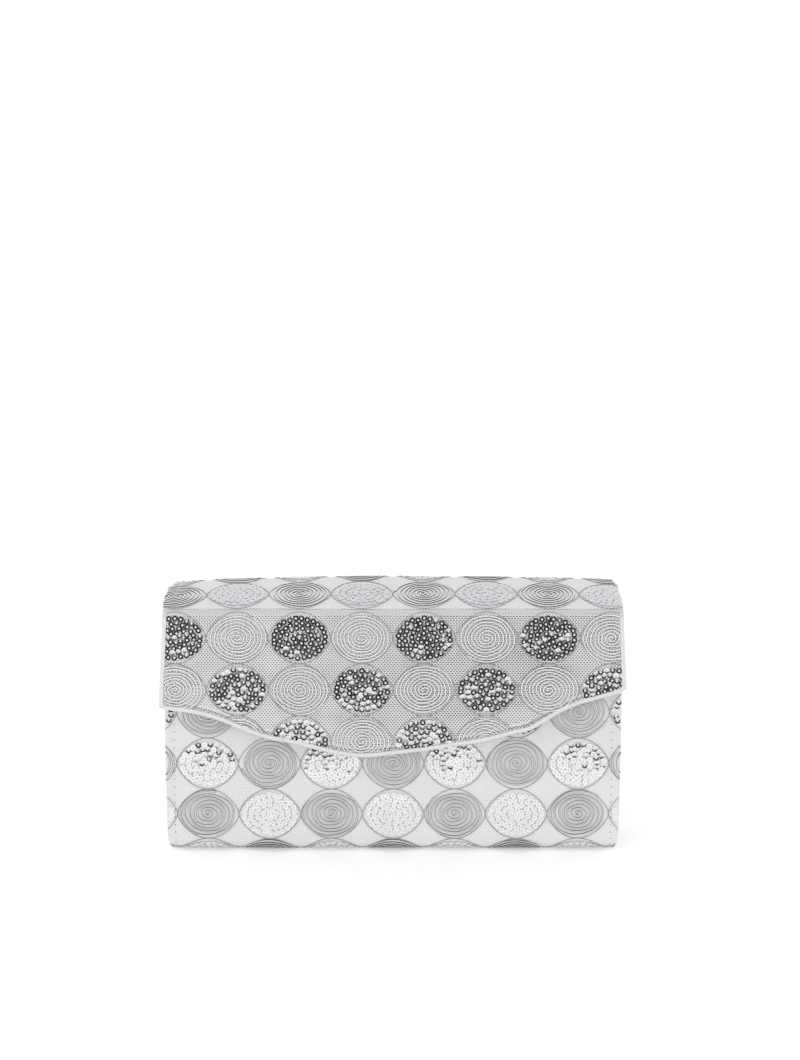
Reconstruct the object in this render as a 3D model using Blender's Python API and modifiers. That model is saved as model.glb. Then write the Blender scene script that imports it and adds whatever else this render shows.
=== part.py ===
"""Envelope evening clutch: a padded, board-stiffened bag with pleated side gussets, and a flap that folds
over the top and closes with a magnetic snap.

Run it in Blender 4.5, in the background or from the Text Editor. Units are metres, Z is up, the front of
the bag faces -Y, and the origin is under the middle of the bag.

The bag's side view is one loop of fold circles joined by straight panels. Seen from +X it runs
anticlockwise: down the front, back along the base, up the back panel, forward along the spine and down the
flap. So the inside of the bag is always on the left of the loop, and each layer of a panel is that loop
moved to the left.
"""

import math

import bmesh
import bpy
from mathutils import Matrix, Vector

# Overall sizes
BODY_WIDTH = 0.230
BODY_DEPTH = 0.050
FLAP_OVERHANG = 0.001  # by which the flap is wider than the body, at each side

# Front panel: flat and leaning back above the belly
RIM_HEIGHT = 0.116
RIM_SETBACK = 0.013  # from the foremost line of the body back to the rim
FRONT_LEAN = math.radians(9.0)
FLAT_BELOW_SNAP = 0.0072  # from the centre of the snap down to where the front rounds into the belly

# Folds of the loop, by the radius of their outer face
BASE_FOLD_RADIUS = 0.012
BACK_FOLD_RADIUS = 0.008
BACK_FOLD_ABOVE_RIM = 0.010
BACK_FOLD_SETBACK = 0.005  # from the rearmost line of the body forward to the top of the back panel
CREASE_RADIUS = 0.003
CREASE_ABOVE_RIM = 0.0073

# Flap outline, measured down the flap from the crease
FLAP_SIDE_DROP = 0.0447
FLAP_TIP_DROP = 0.0738
FLAP_TIP_RADIUS = 0.090
FLAP_CORNER_RADIUS = 0.004
FLAP_BINDING = 0.0025  # width of the satin binding round the flap's free edge

# Layers, from the outside in
GAP = 0.0003  # between layers that touch on the real bag
COVER = 0.0010
BODY_FOAM = 0.0020
BODY_BOARD = 0.0012
FLAP_FOAM = 0.0015
FLAP_BOARD = 0.0010
BASE_BOARD = 0.0020
LINING = 0.0005
WASHER_SPACE = 0.0017  # behind the front board, for the snap's washer and the turned-in cover

# Edges and seams
SEAM_FLANGE = 0.0055  # cover and gusset sewn flat together at each side
STIFFENER_INSET = 0.0075  # of foam and board from the side edge of the cover
FLAP_STIFFENER_INSET = 0.004  # of foam and board from the edge of the flap's cover
TURN_IN = 0.006  # of the front cover, down behind the rim
LINING_BELOW_RIM = 0.004
LAYER_END_CLEARANCE = 0.002  # of foam, board and lining from a fold

# Gussets
GUSSET = 0.0008
GUSSET_LEAF = 0.0190  # from the front or back wall to the pleat
GUSSET_BOTTOM = 0.0050
GUSSET_BELOW_RIM = 0.0105
WALL_CLEARANCE = 0.0010  # between the gusset and the lining it passes
GUSSET_LEVELS = 9

# Slip pocket on the back lining
POCKET_WIDTH = 0.140
POCKET_BOTTOM = 0.030
POCKET_TOP = 0.092
POCKET_BINDING = 0.006

# Magnetic snap
SNAP_TIP_MARGIN = 0.0135  # from the snap's centre to the tip of the flap
SOCKET_RADIUS = 0.0070
SOCKET_HEIGHT = 0.0024
BORE_RADIUS = 0.0023
BORE_DEPTH = 0.0016
STUD_RADIUS = 0.0068
STUD_PLATE = 0.0008
PIN_ROOT_RADIUS = 0.0018
PIN_TIP_RADIUS = 0.0014
PIN_LENGTH = 0.0012
SNAP_EDGE_ROUND = 0.0004
PRONG = 0.0005
PRONG_WIDTH = 0.0026
PRONG_OFFSET = 0.0030
PRONG_FOOT = 0.0022
WASHER_RADIUS = 0.0060
WASHER = 0.0005
WASHER_HOLE_RADIUS = 0.0018
FOAM_HOLE_RADIUS = 0.0072
ROUND_STEPS = 32

# Joints
PIVOT_PROUD = 0.0004  # of each fold's axis outside the cover, so that the covers close face to face
FRONT_SPLIT_GAP = 0.0005  # between the front and base covers, which close up as the front tilts in

BACK_FOLD_HEIGHT = RIM_HEIGHT + BACK_FOLD_ABOVE_RIM
CREASE_HEIGHT = RIM_HEIGHT + CREASE_ABOVE_RIM
BELLY_CORNER = RIM_HEIGHT - RIM_SETBACK / math.tan(FRONT_LEAN)

WALL_FOAM = COVER + GAP
WALL_BOARD = WALL_FOAM + BODY_FOAM + GAP
WALL_LINING = WALL_BOARD + BODY_BOARD + GAP
FRONT_LINING_DEPTH = WALL_BOARD + BODY_BOARD + WASHER_SPACE + GAP
FLAP_FOAM_DEPTH = COVER + GAP
FLAP_BOARD_DEPTH = FLAP_FOAM_DEPTH + FLAP_FOAM + GAP
FLAP_LINING_DEPTH = FLAP_BOARD_DEPTH + FLAP_BOARD + GAP
FLAP_STACK = FLAP_LINING_DEPTH + LINING
BASE_LINING_DEPTH = COVER + GAP + BASE_BOARD + GAP
SNAP_STACK = GAP + SOCKET_HEIGHT + GAP + STUD_PLATE + GAP
FLAP_PROUD = SNAP_STACK + FLAP_STACK
FLAP_WIDTH = BODY_WIDTH + 2 * FLAP_OVERHANG
STIFFENED_WIDTH = BODY_WIDTH - 2 * STIFFENER_INSET

# The tip of the flap is the foremost point of the bag, and the whole is centred on the origin.
FLAP_TOP_HEIGHT = CREASE_HEIGHT + CREASE_RADIUS * math.sin(FRONT_LEAN)
TIP_HEIGHT = FLAP_TOP_HEIGHT - FLAP_TIP_DROP * math.cos(FRONT_LEAN)
TIP_OVERHANG = (
    FLAP_PROUD / math.cos(FRONT_LEAN) + (RIM_HEIGHT - TIP_HEIGHT) * math.tan(FRONT_LEAN) - RIM_SETBACK
)
REAR_Y = (BODY_DEPTH + TIP_OVERHANG) / 2
FRONT_Y = REAR_Y - BODY_DEPTH

ARC_STEP = math.radians(11)


# ---------------------------------------------------------------- the loop, as (y, z) points


def direction(angle):
    """Unit vector in the Y-Z plane, from +Y towards +Z."""
    return Vector((math.cos(angle), math.sin(angle)))


def arc(centre, radius, start, end):
    """Points of an arc, from one angle to another."""
    steps = max(2, round(abs(end - start) / ARC_STEP))
    return [centre + radius * direction(start + (end - start) * i / steps) for i in range(steps + 1)]


def outward_angle(first, first_radius, second, second_radius):
    """Angle of the outward normal of the straight panel that joins two folds, both on its left."""
    between = second - first
    heading = math.atan2(between.y, between.x)
    return (heading - math.acos((first_radius - second_radius) / between.length)) % math.tau


def bezier(start, control, end, steps):
    """Points of a quadratic curve."""
    shares = [i / steps for i in range(steps + 1)]
    return [start * (1 - t) ** 2 + control * 2 * t * (1 - t) + end * t**2 for t in shares]


def joined(*runs):
    """One path from several runs, with no point twice."""
    path = []
    for point in (p for run in runs for p in run):
        if not path or (point - path[-1]).length > 1e-6:
            path.append(point)
    return path


def trimmed(path, start=0.0, end=0.0):
    """The path without its first and last stretch, each given as a length."""

    def cut(points, length):
        points = list(points)
        while length > 0 and len(points) > 1:
            step = (points[1] - points[0]).length
            if step > length:
                points[0] = points[0].lerp(points[1], length / step)
                break
            length -= step
            points.pop(0)
        return points

    return cut(cut(path, start)[::-1], end)[::-1]


def inside(path, depth):
    """The path moved to its left, by the same distance all along."""
    moved = []
    for i, point in enumerate(path):
        before = (point - path[i - 1]).normalized() if i else None
        after = (path[i + 1] - point).normalized() if i + 1 < len(path) else None
        before = before or after
        after = after or before
        left_before = Vector((-before.y, before.x))
        left_after = Vector((-after.y, after.x))
        middle = (left_before + left_after).normalized()
        moved.append(point + middle * depth / middle.dot(left_after))
    return moved


def height_range(path, low, high):
    """The part of a rising or falling path between two heights."""
    rising = path if path[0].y < path[-1].y else path[::-1]
    kept = [at_height(rising, low)]
    kept += [p for p in rising if low < p.y < high]
    kept.append(at_height(rising, high))
    return kept if rising is path else kept[::-1]


def at_height(path, height):
    """The point of a path at a height."""
    for first, second in zip(path, path[1:]):
        if min(first.y, second.y) <= height <= max(first.y, second.y) and first.y != second.y:
            return first.lerp(second, (height - first.y) / (second.y - first.y))
    return min(path, key=lambda p: abs(p.y - height))


FRONT_ANGLE = math.pi - FRONT_LEAN
DOWN_FRONT = Vector((-math.sin(FRONT_LEAN), -math.cos(FRONT_LEAN)))
RIM = Vector((FRONT_Y + RIM_SETBACK, RIM_HEIGHT))

FRONT_FOLD = Vector((FRONT_Y + BASE_FOLD_RADIUS, BASE_FOLD_RADIUS))
REAR_FOLD = Vector((REAR_Y - BASE_FOLD_RADIUS, BASE_FOLD_RADIUS))
BACK_FOLD = Vector((REAR_Y - BACK_FOLD_SETBACK - BACK_FOLD_RADIUS, BACK_FOLD_HEIGHT))


def on_front(height, proud=0.0):
    """Point of the front panel's flat outer face, or that far in front of it, at a height."""
    foot = RIM + DOWN_FRONT * (RIM_HEIGHT - height) / math.cos(FRONT_LEAN)
    return foot - Vector((proud / math.cos(FRONT_LEAN), 0))


CREASE = on_front(CREASE_HEIGHT, FLAP_PROUD - CREASE_RADIUS)

BACK_ANGLE = outward_angle(REAR_FOLD, BASE_FOLD_RADIUS, BACK_FOLD, BACK_FOLD_RADIUS)
SPINE_ANGLE = outward_angle(BACK_FOLD, BACK_FOLD_RADIUS, CREASE, CREASE_RADIUS)

# Each fold is split at its middle, where its axis is.
FRONT_SPLIT = math.radians(225)
REAR_SPLIT = (math.radians(-90) + BACK_ANGLE) / 2
BACK_SPLIT = (BACK_ANGLE + SPINE_ANGLE) / 2
CREASE_SPLIT = (SPINE_ANGLE + FRONT_ANGLE) / 2

FLAP_TOP = CREASE + CREASE_RADIUS * direction(FRONT_ANGLE)

# The snap's centre, on the outer face of the front panel
SNAP = FLAP_TOP + DOWN_FRONT * (FLAP_TIP_DROP - SNAP_TIP_MARGIN) - FLAP_PROUD * direction(FRONT_ANGLE)

BELLY_START = on_front(SNAP.y - FLAT_BELOW_SNAP)
BELLY_CONTROL = on_front(BELLY_CORNER)
FRONT_FACE = joined(
    [RIM],
    bezier(BELLY_START, BELLY_CONTROL, FRONT_FOLD - Vector((BASE_FOLD_RADIUS, 0)), 6),
)
FRONT_PATH = joined(FRONT_FACE, arc(FRONT_FOLD, BASE_FOLD_RADIUS, math.pi, FRONT_SPLIT))
RIM_BACK = RIM - (WALL_LINING + COVER) * direction(FRONT_ANGLE)
TURNED_PATH = joined([RIM_BACK + DOWN_FRONT * TURN_IN, RIM_BACK], FRONT_PATH)
BASE_PATH = joined(
    arc(FRONT_FOLD, BASE_FOLD_RADIUS, FRONT_SPLIT, math.radians(270)),
    arc(REAR_FOLD, BASE_FOLD_RADIUS, math.radians(-90), REAR_SPLIT),
)
BACK_FACE = [
    REAR_FOLD + BASE_FOLD_RADIUS * direction(BACK_ANGLE),
    BACK_FOLD + BACK_FOLD_RADIUS * direction(BACK_ANGLE),
]
BACK_PATH = joined(
    arc(REAR_FOLD, BASE_FOLD_RADIUS, REAR_SPLIT, BACK_ANGLE),
    arc(BACK_FOLD, BACK_FOLD_RADIUS, BACK_ANGLE, BACK_SPLIT),
)
SPINE_FACE = [
    BACK_FOLD + BACK_FOLD_RADIUS * direction(SPINE_ANGLE),
    CREASE + CREASE_RADIUS * direction(SPINE_ANGLE),
]
SPINE_PATH = joined(
    arc(BACK_FOLD, BACK_FOLD_RADIUS, BACK_SPLIT, SPINE_ANGLE),
    arc(CREASE, CREASE_RADIUS, SPINE_ANGLE, CREASE_SPLIT),
)
FLAP_FACE = [FLAP_TOP, FLAP_TOP + DOWN_FRONT * FLAP_TIP_DROP]
FLAP_PATH = joined(arc(CREASE, CREASE_RADIUS, CREASE_SPLIT, FRONT_ANGLE), FLAP_FACE)


# ---------------------------------------------------------------- building

for old in list(bpy.data.objects):
    bpy.data.objects.remove(old)

PARTS = bpy.data.collections.new("evening_clutch")
HELPERS = bpy.data.collections.new("cutters")
for collection in (PARTS, HELPERS):
    bpy.context.scene.collection.children.link(collection)


def material(name, colour, roughness, metallic=0.0):
    """Principled material of one colour."""
    made = bpy.data.materials.new(name)
    made.use_nodes = True
    shader = made.node_tree.nodes["Principled BSDF"]
    shader.inputs["Base Color"].default_value = (*colour, 1.0)
    shader.inputs["Roughness"].default_value = roughness
    shader.inputs["Metallic"].default_value = metallic
    return made


EMBROIDERED = material("embroidered_mesh", (0.80, 0.80, 0.81), 0.35, 0.6)
SATIN = material("silver_satin", (0.72, 0.72, 0.74), 0.45, 0.2)
FOAM = material("white_foam", (0.86, 0.86, 0.84), 0.90)
BOARD = material("grey_board", (0.55, 0.53, 0.50), 0.80)
NICKEL = material("nickel", (0.75, 0.74, 0.72), 0.25, 1.0)


def pivot(name, fold, radius, angle):
    """Empty on a fold's axis, which stands just outside the cover."""
    point = fold + (radius + PIVOT_PROUD) * direction(angle)
    made = bpy.data.objects.new(name, None)
    made.location = (0, point.x, point.y)
    PARTS.objects.link(made)
    return made


FRONT_PIVOT = pivot("front_panel_pivot", FRONT_FOLD, BASE_FOLD_RADIUS, FRONT_SPLIT)
SPINE_PIVOT = pivot("spine_pivot", BACK_FOLD, BACK_FOLD_RADIUS, BACK_SPLIT)
FLAP_PIVOT = pivot("flap_pivot", CREASE, CREASE_RADIUS, CREASE_SPLIT)


def add(name, bm, finish, parent=None):
    """Turns a bmesh into a named part, with its parent's axis as its origin."""
    mesh = bpy.data.meshes.new(name)
    if parent:
        bmesh.ops.translate(bm, verts=bm.verts, vec=-parent.location)
    bm.to_mesh(mesh)
    bm.free()
    mesh.materials.append(finish)
    made = bpy.data.objects.new(name, mesh)
    made.parent = parent
    PARTS.objects.link(made)
    return made


def helper(name, bm):
    """Turns a bmesh into a hidden cutter."""
    mesh = bpy.data.meshes.new(name)
    bm.to_mesh(mesh)
    bm.free()
    made = bpy.data.objects.new(name, mesh)
    made.hide_render = True
    made.display_type = "WIRE"
    HELPERS.objects.link(made)
    return made


def boolean(target, operation, other):
    """Adds an exact Boolean to a part."""
    modifier = target.modifiers.new(f"{operation.lower()}_{other.name}", "BOOLEAN")
    modifier.operation = operation
    modifier.object = other
    return target


def extruded(bm, geometry, offset):
    """Moves the new end of an extrusion by an offset."""
    verts = [item for item in geometry if isinstance(item, bmesh.types.BMVert)]
    bmesh.ops.translate(bm, verts=verts, vec=offset)


def thicken(target, thickness):
    """Gives a sheet its thickness, on the inner side of the loop."""
    modifier = target.modifiers.new("thickness", "SOLIDIFY")
    modifier.thickness = thickness
    modifier.offset = -1
    modifier.use_even_offset = True
    return target


def face_outwards(bm, start, heading):
    """Turns a swept sheet's faces to the right of its path, which is the outside of the bag."""
    bm.normal_update()
    outward = Vector((0, heading.y, -heading.x))
    first = min(start.link_faces, key=lambda face: face.index)
    if first.normal.dot(outward) < 0:
        bmesh.ops.reverse_faces(bm, faces=bm.faces)


def sheet(name, path, depth, thickness, width, finish, parent=None):
    """A layer of a panel: a stretch of the loop, moved in by depth and thickened inwards."""
    bm = bmesh.new()
    line = [bm.verts.new((width / 2, p.x, p.y)) for p in inside(path, depth)]
    edges = [bm.edges.new(pair) for pair in zip(line, line[1:])]
    extruded(bm, bmesh.ops.extrude_edge_only(bm, edges=edges)["geom"], (-width, 0, 0))
    face_outwards(bm, line[0], path[1] - path[0])
    return thicken(add(name, bm, finish, parent), thickness)


def prism(outline, low, high):
    """Outline of (x, z) points, swept along Y from low to high."""
    bm = bmesh.new()
    face = bm.faces.new([bm.verts.new((x, low, z)) for x, z in outline])
    extruded(bm, bmesh.ops.extrude_face_region(bm, geom=[face])["geom"], (0, high - low, 0))
    bmesh.ops.recalc_face_normals(bm, faces=bm.faces)
    return bm


def snap_matrix():
    """Places what is modelled round Z at the snap: Z out of the front panel, Z = 0 on its outer face."""
    turn = Matrix.Rotation(math.pi / 2 - FRONT_LEAN, 4, "X")
    return Matrix.Translation((0, SNAP.x, SNAP.y)) @ turn


def turned(profile, ring=False):
    """Solid turned about Z from (radius, height) points, which start and end on the axis or form a ring."""
    bm = bmesh.new()
    line = [bm.verts.new((r, 0, z)) for r, z in profile]
    edges = [bm.edges.new(pair) for pair in zip(line, line[1:])]
    if ring:
        edges.append(bm.edges.new((line[-1], line[0])))
    bmesh.ops.spin(
        bm, geom=line + edges, axis=(0, 0, 1), angle=math.tau, steps=ROUND_STEPS, use_merge=True
    )
    bmesh.ops.remove_doubles(bm, verts=bm.verts, dist=1e-7)
    bmesh.ops.recalc_face_normals(bm, faces=bm.faces)
    return bm


def block(bm, low, high):
    """Adds a box, given by two opposite corners."""
    low, high = Vector(low), Vector(high)
    place = Matrix.Translation((low + high) / 2) @ Matrix.Diagonal((*(high - low), 1.0))
    bmesh.ops.create_cube(bm, size=1.0, matrix=place)


# ---------------------------------------------------------------- flap outline

TIP_CENTRE = Vector((0, TIP_HEIGHT + FLAP_TIP_RADIUS))
SIDE_CORNER = Vector((FLAP_WIDTH / 2, FLAP_TOP_HEIGHT - FLAP_SIDE_DROP * math.cos(FRONT_LEAN)))
TO_CENTRE = TIP_CENTRE - SIDE_CORNER
# Slope of the straight edge that runs from the side corner to touch the tip's arc
EDGE_SLOPE = math.asin(FLAP_TIP_RADIUS / TO_CENTRE.length) - math.atan2(TO_CENTRE.y, -TO_CENTRE.x)


def flap_outline(inset):
    """The flap's outline from the front, as (x, z) points, drawn in by inset all round."""
    half = FLAP_WIDTH / 2 - inset
    radius = FLAP_TIP_RADIUS - inset
    touch = TIP_CENTRE + radius * direction(EDGE_SLOPE - math.pi / 2)
    corner = Vector((half, touch.y + (half - touch.x) * math.tan(EDGE_SLOPE)))
    round_off = max(FLAP_CORNER_RADIUS - inset, FLAP_CORNER_RADIUS / 4)
    rise = round_off * math.tan((math.pi / 2 - EDGE_SLOPE) / 2)
    rounding = arc(corner + Vector((-round_off, rise)), round_off, EDGE_SLOPE - math.pi / 2, 0)
    right = joined(rounding, [Vector((half, BACK_FOLD_HEIGHT + BACK_FOLD_RADIUS))])
    left = [Vector((-p.x, p.y)) for p in reversed(right)]
    tip = arc(TIP_CENTRE, radius, -math.pi / 2 - EDGE_SLOPE, -math.pi / 2 + EDGE_SLOPE)
    return joined(left, tip, right)


def outline_prism(name, inset):
    """Cutter with the flap's outline, through the whole depth of the bag."""
    return helper(name, prism(flap_outline(inset), -BODY_DEPTH, BODY_DEPTH))


# ---------------------------------------------------------------- base and back

BASE_FLAT = [Vector((FRONT_FOLD.x, 0)), Vector((REAR_FOLD.x, 0))]

sheet("base_cover", trimmed(BASE_PATH, FRONT_SPLIT_GAP, GAP), 0, COVER, BODY_WIDTH, EMBROIDERED)
sheet("base_board", BASE_FLAT, COVER + GAP, BASE_BOARD, STIFFENED_WIDTH, BOARD)
sheet("base_lining", BASE_FLAT, BASE_LINING_DEPTH, LINING, STIFFENED_WIDTH, SATIN)

BACK_LAYERS = trimmed(BACK_FACE, LAYER_END_CLEARANCE, LAYER_END_CLEARANCE)
sheet("back_cover", trimmed(BACK_PATH, 0, GAP), 0, COVER, BODY_WIDTH, EMBROIDERED)
sheet("back_foam", BACK_LAYERS, WALL_FOAM, BODY_FOAM, STIFFENED_WIDTH, FOAM)
sheet("back_board", BACK_LAYERS, WALL_BOARD, BODY_BOARD, STIFFENED_WIDTH, BOARD)
sheet("back_lining", BACK_LAYERS, WALL_LINING, LINING, STIFFENED_WIDTH, SATIN)

POCKET_DEPTH = WALL_LINING + LINING + GAP
POCKET_FACE = height_range(BACK_FACE, POCKET_BOTTOM, POCKET_TOP)
POCKET_HEM = height_range(BACK_FACE, POCKET_TOP - POCKET_BINDING, POCKET_TOP)
sheet("slip_pocket", POCKET_FACE, POCKET_DEPTH, LINING, POCKET_WIDTH, SATIN)
sheet("pocket_binding", POCKET_HEM, POCKET_DEPTH + LINING + GAP, LINING, POCKET_WIDTH, SATIN)


# ---------------------------------------------------------------- gussets


def gusset_section(height):
    """One level of the right gusset, as (x, y) points from back flange to pleat to front flange."""
    sewn = COVER + GAP
    front = at_height(inside(FRONT_PATH, sewn), height).x
    back = at_height(inside(BACK_PATH, sewn), height).x
    front_leaf = front + FRONT_LINING_DEPTH + LINING + WALL_CLEARANCE - sewn
    back_leaf = back - (WALL_LINING + LINING + WALL_CLEARANCE - sewn)
    half = (back_leaf - front_leaf) / 2
    pleat = math.sqrt(max(GUSSET_LEAF**2 - half**2, 0))
    edge = BODY_WIDTH / 2
    root = edge - SEAM_FLANGE
    return [
        (edge, back),
        (root, back),
        (root, back_leaf),
        (root - pleat, back_leaf - half),
        (root, front_leaf),
        (root, front),
        (edge, front),
    ]


def gusset(name, side):
    """Pleated side wall, lofted through its levels: a flange sewn behind each cover, and two leaves."""
    top = RIM_HEIGHT - GUSSET_BELOW_RIM
    rise = (top - GUSSET_BOTTOM) / (GUSSET_LEVELS - 1)
    levels = [GUSSET_BOTTOM + rise * i for i in range(GUSSET_LEVELS)]
    bm = bmesh.new()
    rows = [[bm.verts.new((side * x, y, z)) for x, y in gusset_section(z)] for z in levels]
    for lower, upper in zip(rows, rows[1:]):
        for i in range(len(lower) - 1):
            bm.faces.new((lower[i], lower[i + 1], upper[i + 1], upper[i]))
    if side < 0:
        bmesh.ops.reverse_faces(bm, faces=bm.faces)
    return thicken(add(name, bm, SATIN), GUSSET)


gusset("gusset_right", 1)
gusset("gusset_left", -1)


# ---------------------------------------------------------------- front panel

FRONT_LAYERS = trimmed(FRONT_FACE, COVER + GAP, LAYER_END_CLEARANCE)
FRONT_LINING_PATH = trimmed(FRONT_FACE, LINING_BELOW_RIM, LAYER_END_CLEARANCE)


def front_layer(name, path, depth, thickness, finish):
    """A stiffened layer of the front panel."""
    return sheet(name, path, depth, thickness, STIFFENED_WIDTH, finish, FRONT_PIVOT)


FRONT_COVER_PATH = trimmed(TURNED_PATH, 0, GAP)
front_cover = sheet("front_cover", FRONT_COVER_PATH, 0, COVER, BODY_WIDTH, EMBROIDERED, FRONT_PIVOT)
front_foam = front_layer("front_foam", FRONT_LAYERS, WALL_FOAM, BODY_FOAM, FOAM)
front_board = front_layer("front_board", FRONT_LAYERS, WALL_BOARD, BODY_BOARD, BOARD)
front_layer("front_lining", FRONT_LINING_PATH, FRONT_LINING_DEPTH, LINING, SATIN)


# ---------------------------------------------------------------- spine and flap

SPINE_LAYERS = trimmed(SPINE_FACE, LAYER_END_CLEARANCE, LAYER_END_CLEARANCE)
sheet("spine_cover", trimmed(SPINE_PATH, GAP, GAP), 0, COVER, FLAP_WIDTH, EMBROIDERED, SPINE_PIVOT)
sheet("spine_foam", SPINE_LAYERS, FLAP_FOAM_DEPTH, FLAP_FOAM, STIFFENED_WIDTH, FOAM, SPINE_PIVOT)
sheet("spine_board", SPINE_LAYERS, FLAP_BOARD_DEPTH, FLAP_BOARD, STIFFENED_WIDTH, BOARD, SPINE_PIVOT)
sheet("spine_lining", SPINE_LAYERS, FLAP_LINING_DEPTH, LINING, STIFFENED_WIDTH, SATIN, SPINE_PIVOT)

OUTER_OUTLINE = outline_prism("outer_outline", 0)
BOUND_OUTLINE = outline_prism("bound_outline", FLAP_BINDING)
COVER_OUTLINE = outline_prism("cover_outline", FLAP_BINDING + GAP)
STIFFENER_OUTLINE = outline_prism("stiffener_outline", FLAP_BINDING + FLAP_STIFFENER_INSET)


def flap_layer(name, path, depth, thickness, outline, finish):
    """A layer of the flap, cut to an outline."""
    made = sheet(name, path, depth, thickness, FLAP_WIDTH + COVER, finish, FLAP_PIVOT)
    return boolean(made, "INTERSECT", outline)


# The flap's sheets run past its tip, and the outline cuts them off.
FLAP_CUT = FLAP_FACE[:1] + [FLAP_FACE[1] + DOWN_FRONT * FLAP_STACK]
FLAP_CUT_LAYERS = trimmed(FLAP_CUT, LAYER_END_CLEARANCE)
FLAP_COVER_PATH = joined(FLAP_PATH[:-1], FLAP_CUT[1:])
flap_layer("flap_cover", trimmed(FLAP_COVER_PATH, GAP), 0, COVER, COVER_OUTLINE, EMBROIDERED)
flap_foam = flap_layer("flap_foam", FLAP_CUT_LAYERS, FLAP_FOAM_DEPTH, FLAP_FOAM, STIFFENER_OUTLINE, FOAM)
flap_board = flap_layer("flap_board", FLAP_CUT_LAYERS, FLAP_BOARD_DEPTH, FLAP_BOARD, STIFFENER_OUTLINE, BOARD)
flap_lining = flap_layer("flap_lining", FLAP_CUT_LAYERS, FLAP_LINING_DEPTH, LINING, COVER_OUTLINE, SATIN)
binding = flap_layer("flap_edge_binding", trimmed(FLAP_CUT, GAP), 0, FLAP_STACK, OUTER_OUTLINE, SATIN)
boolean(binding, "DIFFERENCE", BOUND_OUTLINE)


# ---------------------------------------------------------------- magnetic snap
# Modelled round Z, which points out of the front panel, with Z = 0 on its outer face.

SOCKET_TOP = GAP + SOCKET_HEIGHT
PLATE_BOTTOM = SOCKET_TOP + GAP
PLATE_TOP = PLATE_BOTTOM + STUD_PLATE
FLAP_INNER_FACE = PLATE_TOP + GAP
FRONT_BOARD_BACK = -(WALL_BOARD + BODY_BOARD)
FLAP_BOARD_FRONT = FLAP_INNER_FACE + LINING + GAP + FLAP_BOARD
PRONG_LEGS = (-PRONG_OFFSET, PRONG_OFFSET)


def placed(bm):
    """Moves what is modelled round Z to the snap."""
    bmesh.ops.transform(bm, matrix=snap_matrix(), verts=bm.verts)
    return bm


def prongs(name, low, high, foot):
    """Two flat legs from low to high, and the feet that they are bent into, whose lower face is at foot."""
    bm = bmesh.new()
    for x in PRONG_LEGS:
        block(bm, (x - PRONG / 2, -PRONG_WIDTH / 2, low), (x + PRONG / 2, PRONG_WIDTH / 2, high))
    legs = helper(name + "_legs", placed(bm))
    bm = bmesh.new()
    for x in PRONG_LEGS:
        outer = x + math.copysign(PRONG_FOOT, x)
        near, far = sorted((x - math.copysign(PRONG / 2, x), outer))
        block(bm, (near, -PRONG_WIDTH / 2, foot), (far, PRONG_WIDTH / 2, foot + PRONG))
    return legs, helper(name + "_feet", placed(bm))


def slots(name, low, high):
    """Cutter for the legs of a snap half, with a clearance all round."""
    bm = bmesh.new()
    for x in PRONG_LEGS:
        across, along = PRONG / 2 + GAP, PRONG_WIDTH / 2 + GAP
        block(bm, (x - across, -along, low), (x + across, along, high))
    return helper(name, placed(bm))


def washer(name, low, holes, parent):
    """Flat washer with a round hole, and slots for the legs."""
    inner, outer, high = WASHER_HOLE_RADIUS, WASHER_RADIUS, low + WASHER
    section = [(inner, low), (outer, low), (outer, high), (inner, high)]
    made = add(name, placed(turned(section, ring=True)), NICKEL, parent)
    return boolean(made, "DIFFERENCE", holes)


THROUGH = WALL_LINING + LINING  # reach of the cutters either side of the snap's faces
FOAM_HOLE_LOW, FOAM_HOLE_HIGH = -THROUGH, FLAP_PROUD + THROUGH
FOAM_HOLE_PROFILE = [
    (0, FOAM_HOLE_LOW),
    (FOAM_HOLE_RADIUS, FOAM_HOLE_LOW),
    (FOAM_HOLE_RADIUS, FOAM_HOLE_HIGH),
    (0, FOAM_HOLE_HIGH),
]
FOAM_HOLE = helper("foam_hole", placed(turned(FOAM_HOLE_PROFILE)))
SOCKET_SLOTS = slots("socket_slots", FRONT_BOARD_BACK - WASHER_SPACE, GAP)
STUD_SLOTS = slots("stud_slots", PLATE_TOP, FLAP_INNER_FACE + THROUGH)

boolean(front_cover, "DIFFERENCE", SOCKET_SLOTS)
boolean(front_foam, "DIFFERENCE", FOAM_HOLE)
boolean(front_board, "DIFFERENCE", SOCKET_SLOTS)
boolean(flap_foam, "DIFFERENCE", FOAM_HOLE)
boolean(flap_board, "DIFFERENCE", STUD_SLOTS)
boolean(flap_lining, "DIFFERENCE", STUD_SLOTS)

SOCKET_PROFILE = [
    (0, GAP),
    (SOCKET_RADIUS, GAP),
    (SOCKET_RADIUS, SOCKET_TOP - SNAP_EDGE_ROUND),
    (SOCKET_RADIUS - SNAP_EDGE_ROUND, SOCKET_TOP),
    (BORE_RADIUS, SOCKET_TOP),
    (BORE_RADIUS, SOCKET_TOP - BORE_DEPTH),
    (0, SOCKET_TOP - BORE_DEPTH),
]
WASHER_BACK = FRONT_BOARD_BACK - GAP - WASHER
socket_foot = WASHER_BACK - GAP - PRONG
socket = add("snap_socket", placed(turned(SOCKET_PROFILE)), NICKEL, FRONT_PIVOT)
for piece in prongs("socket_prongs", socket_foot, GAP + PRONG, socket_foot):
    boolean(socket, "UNION", piece)
washer("snap_socket_washer", WASHER_BACK, SOCKET_SLOTS, FRONT_PIVOT)

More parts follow.
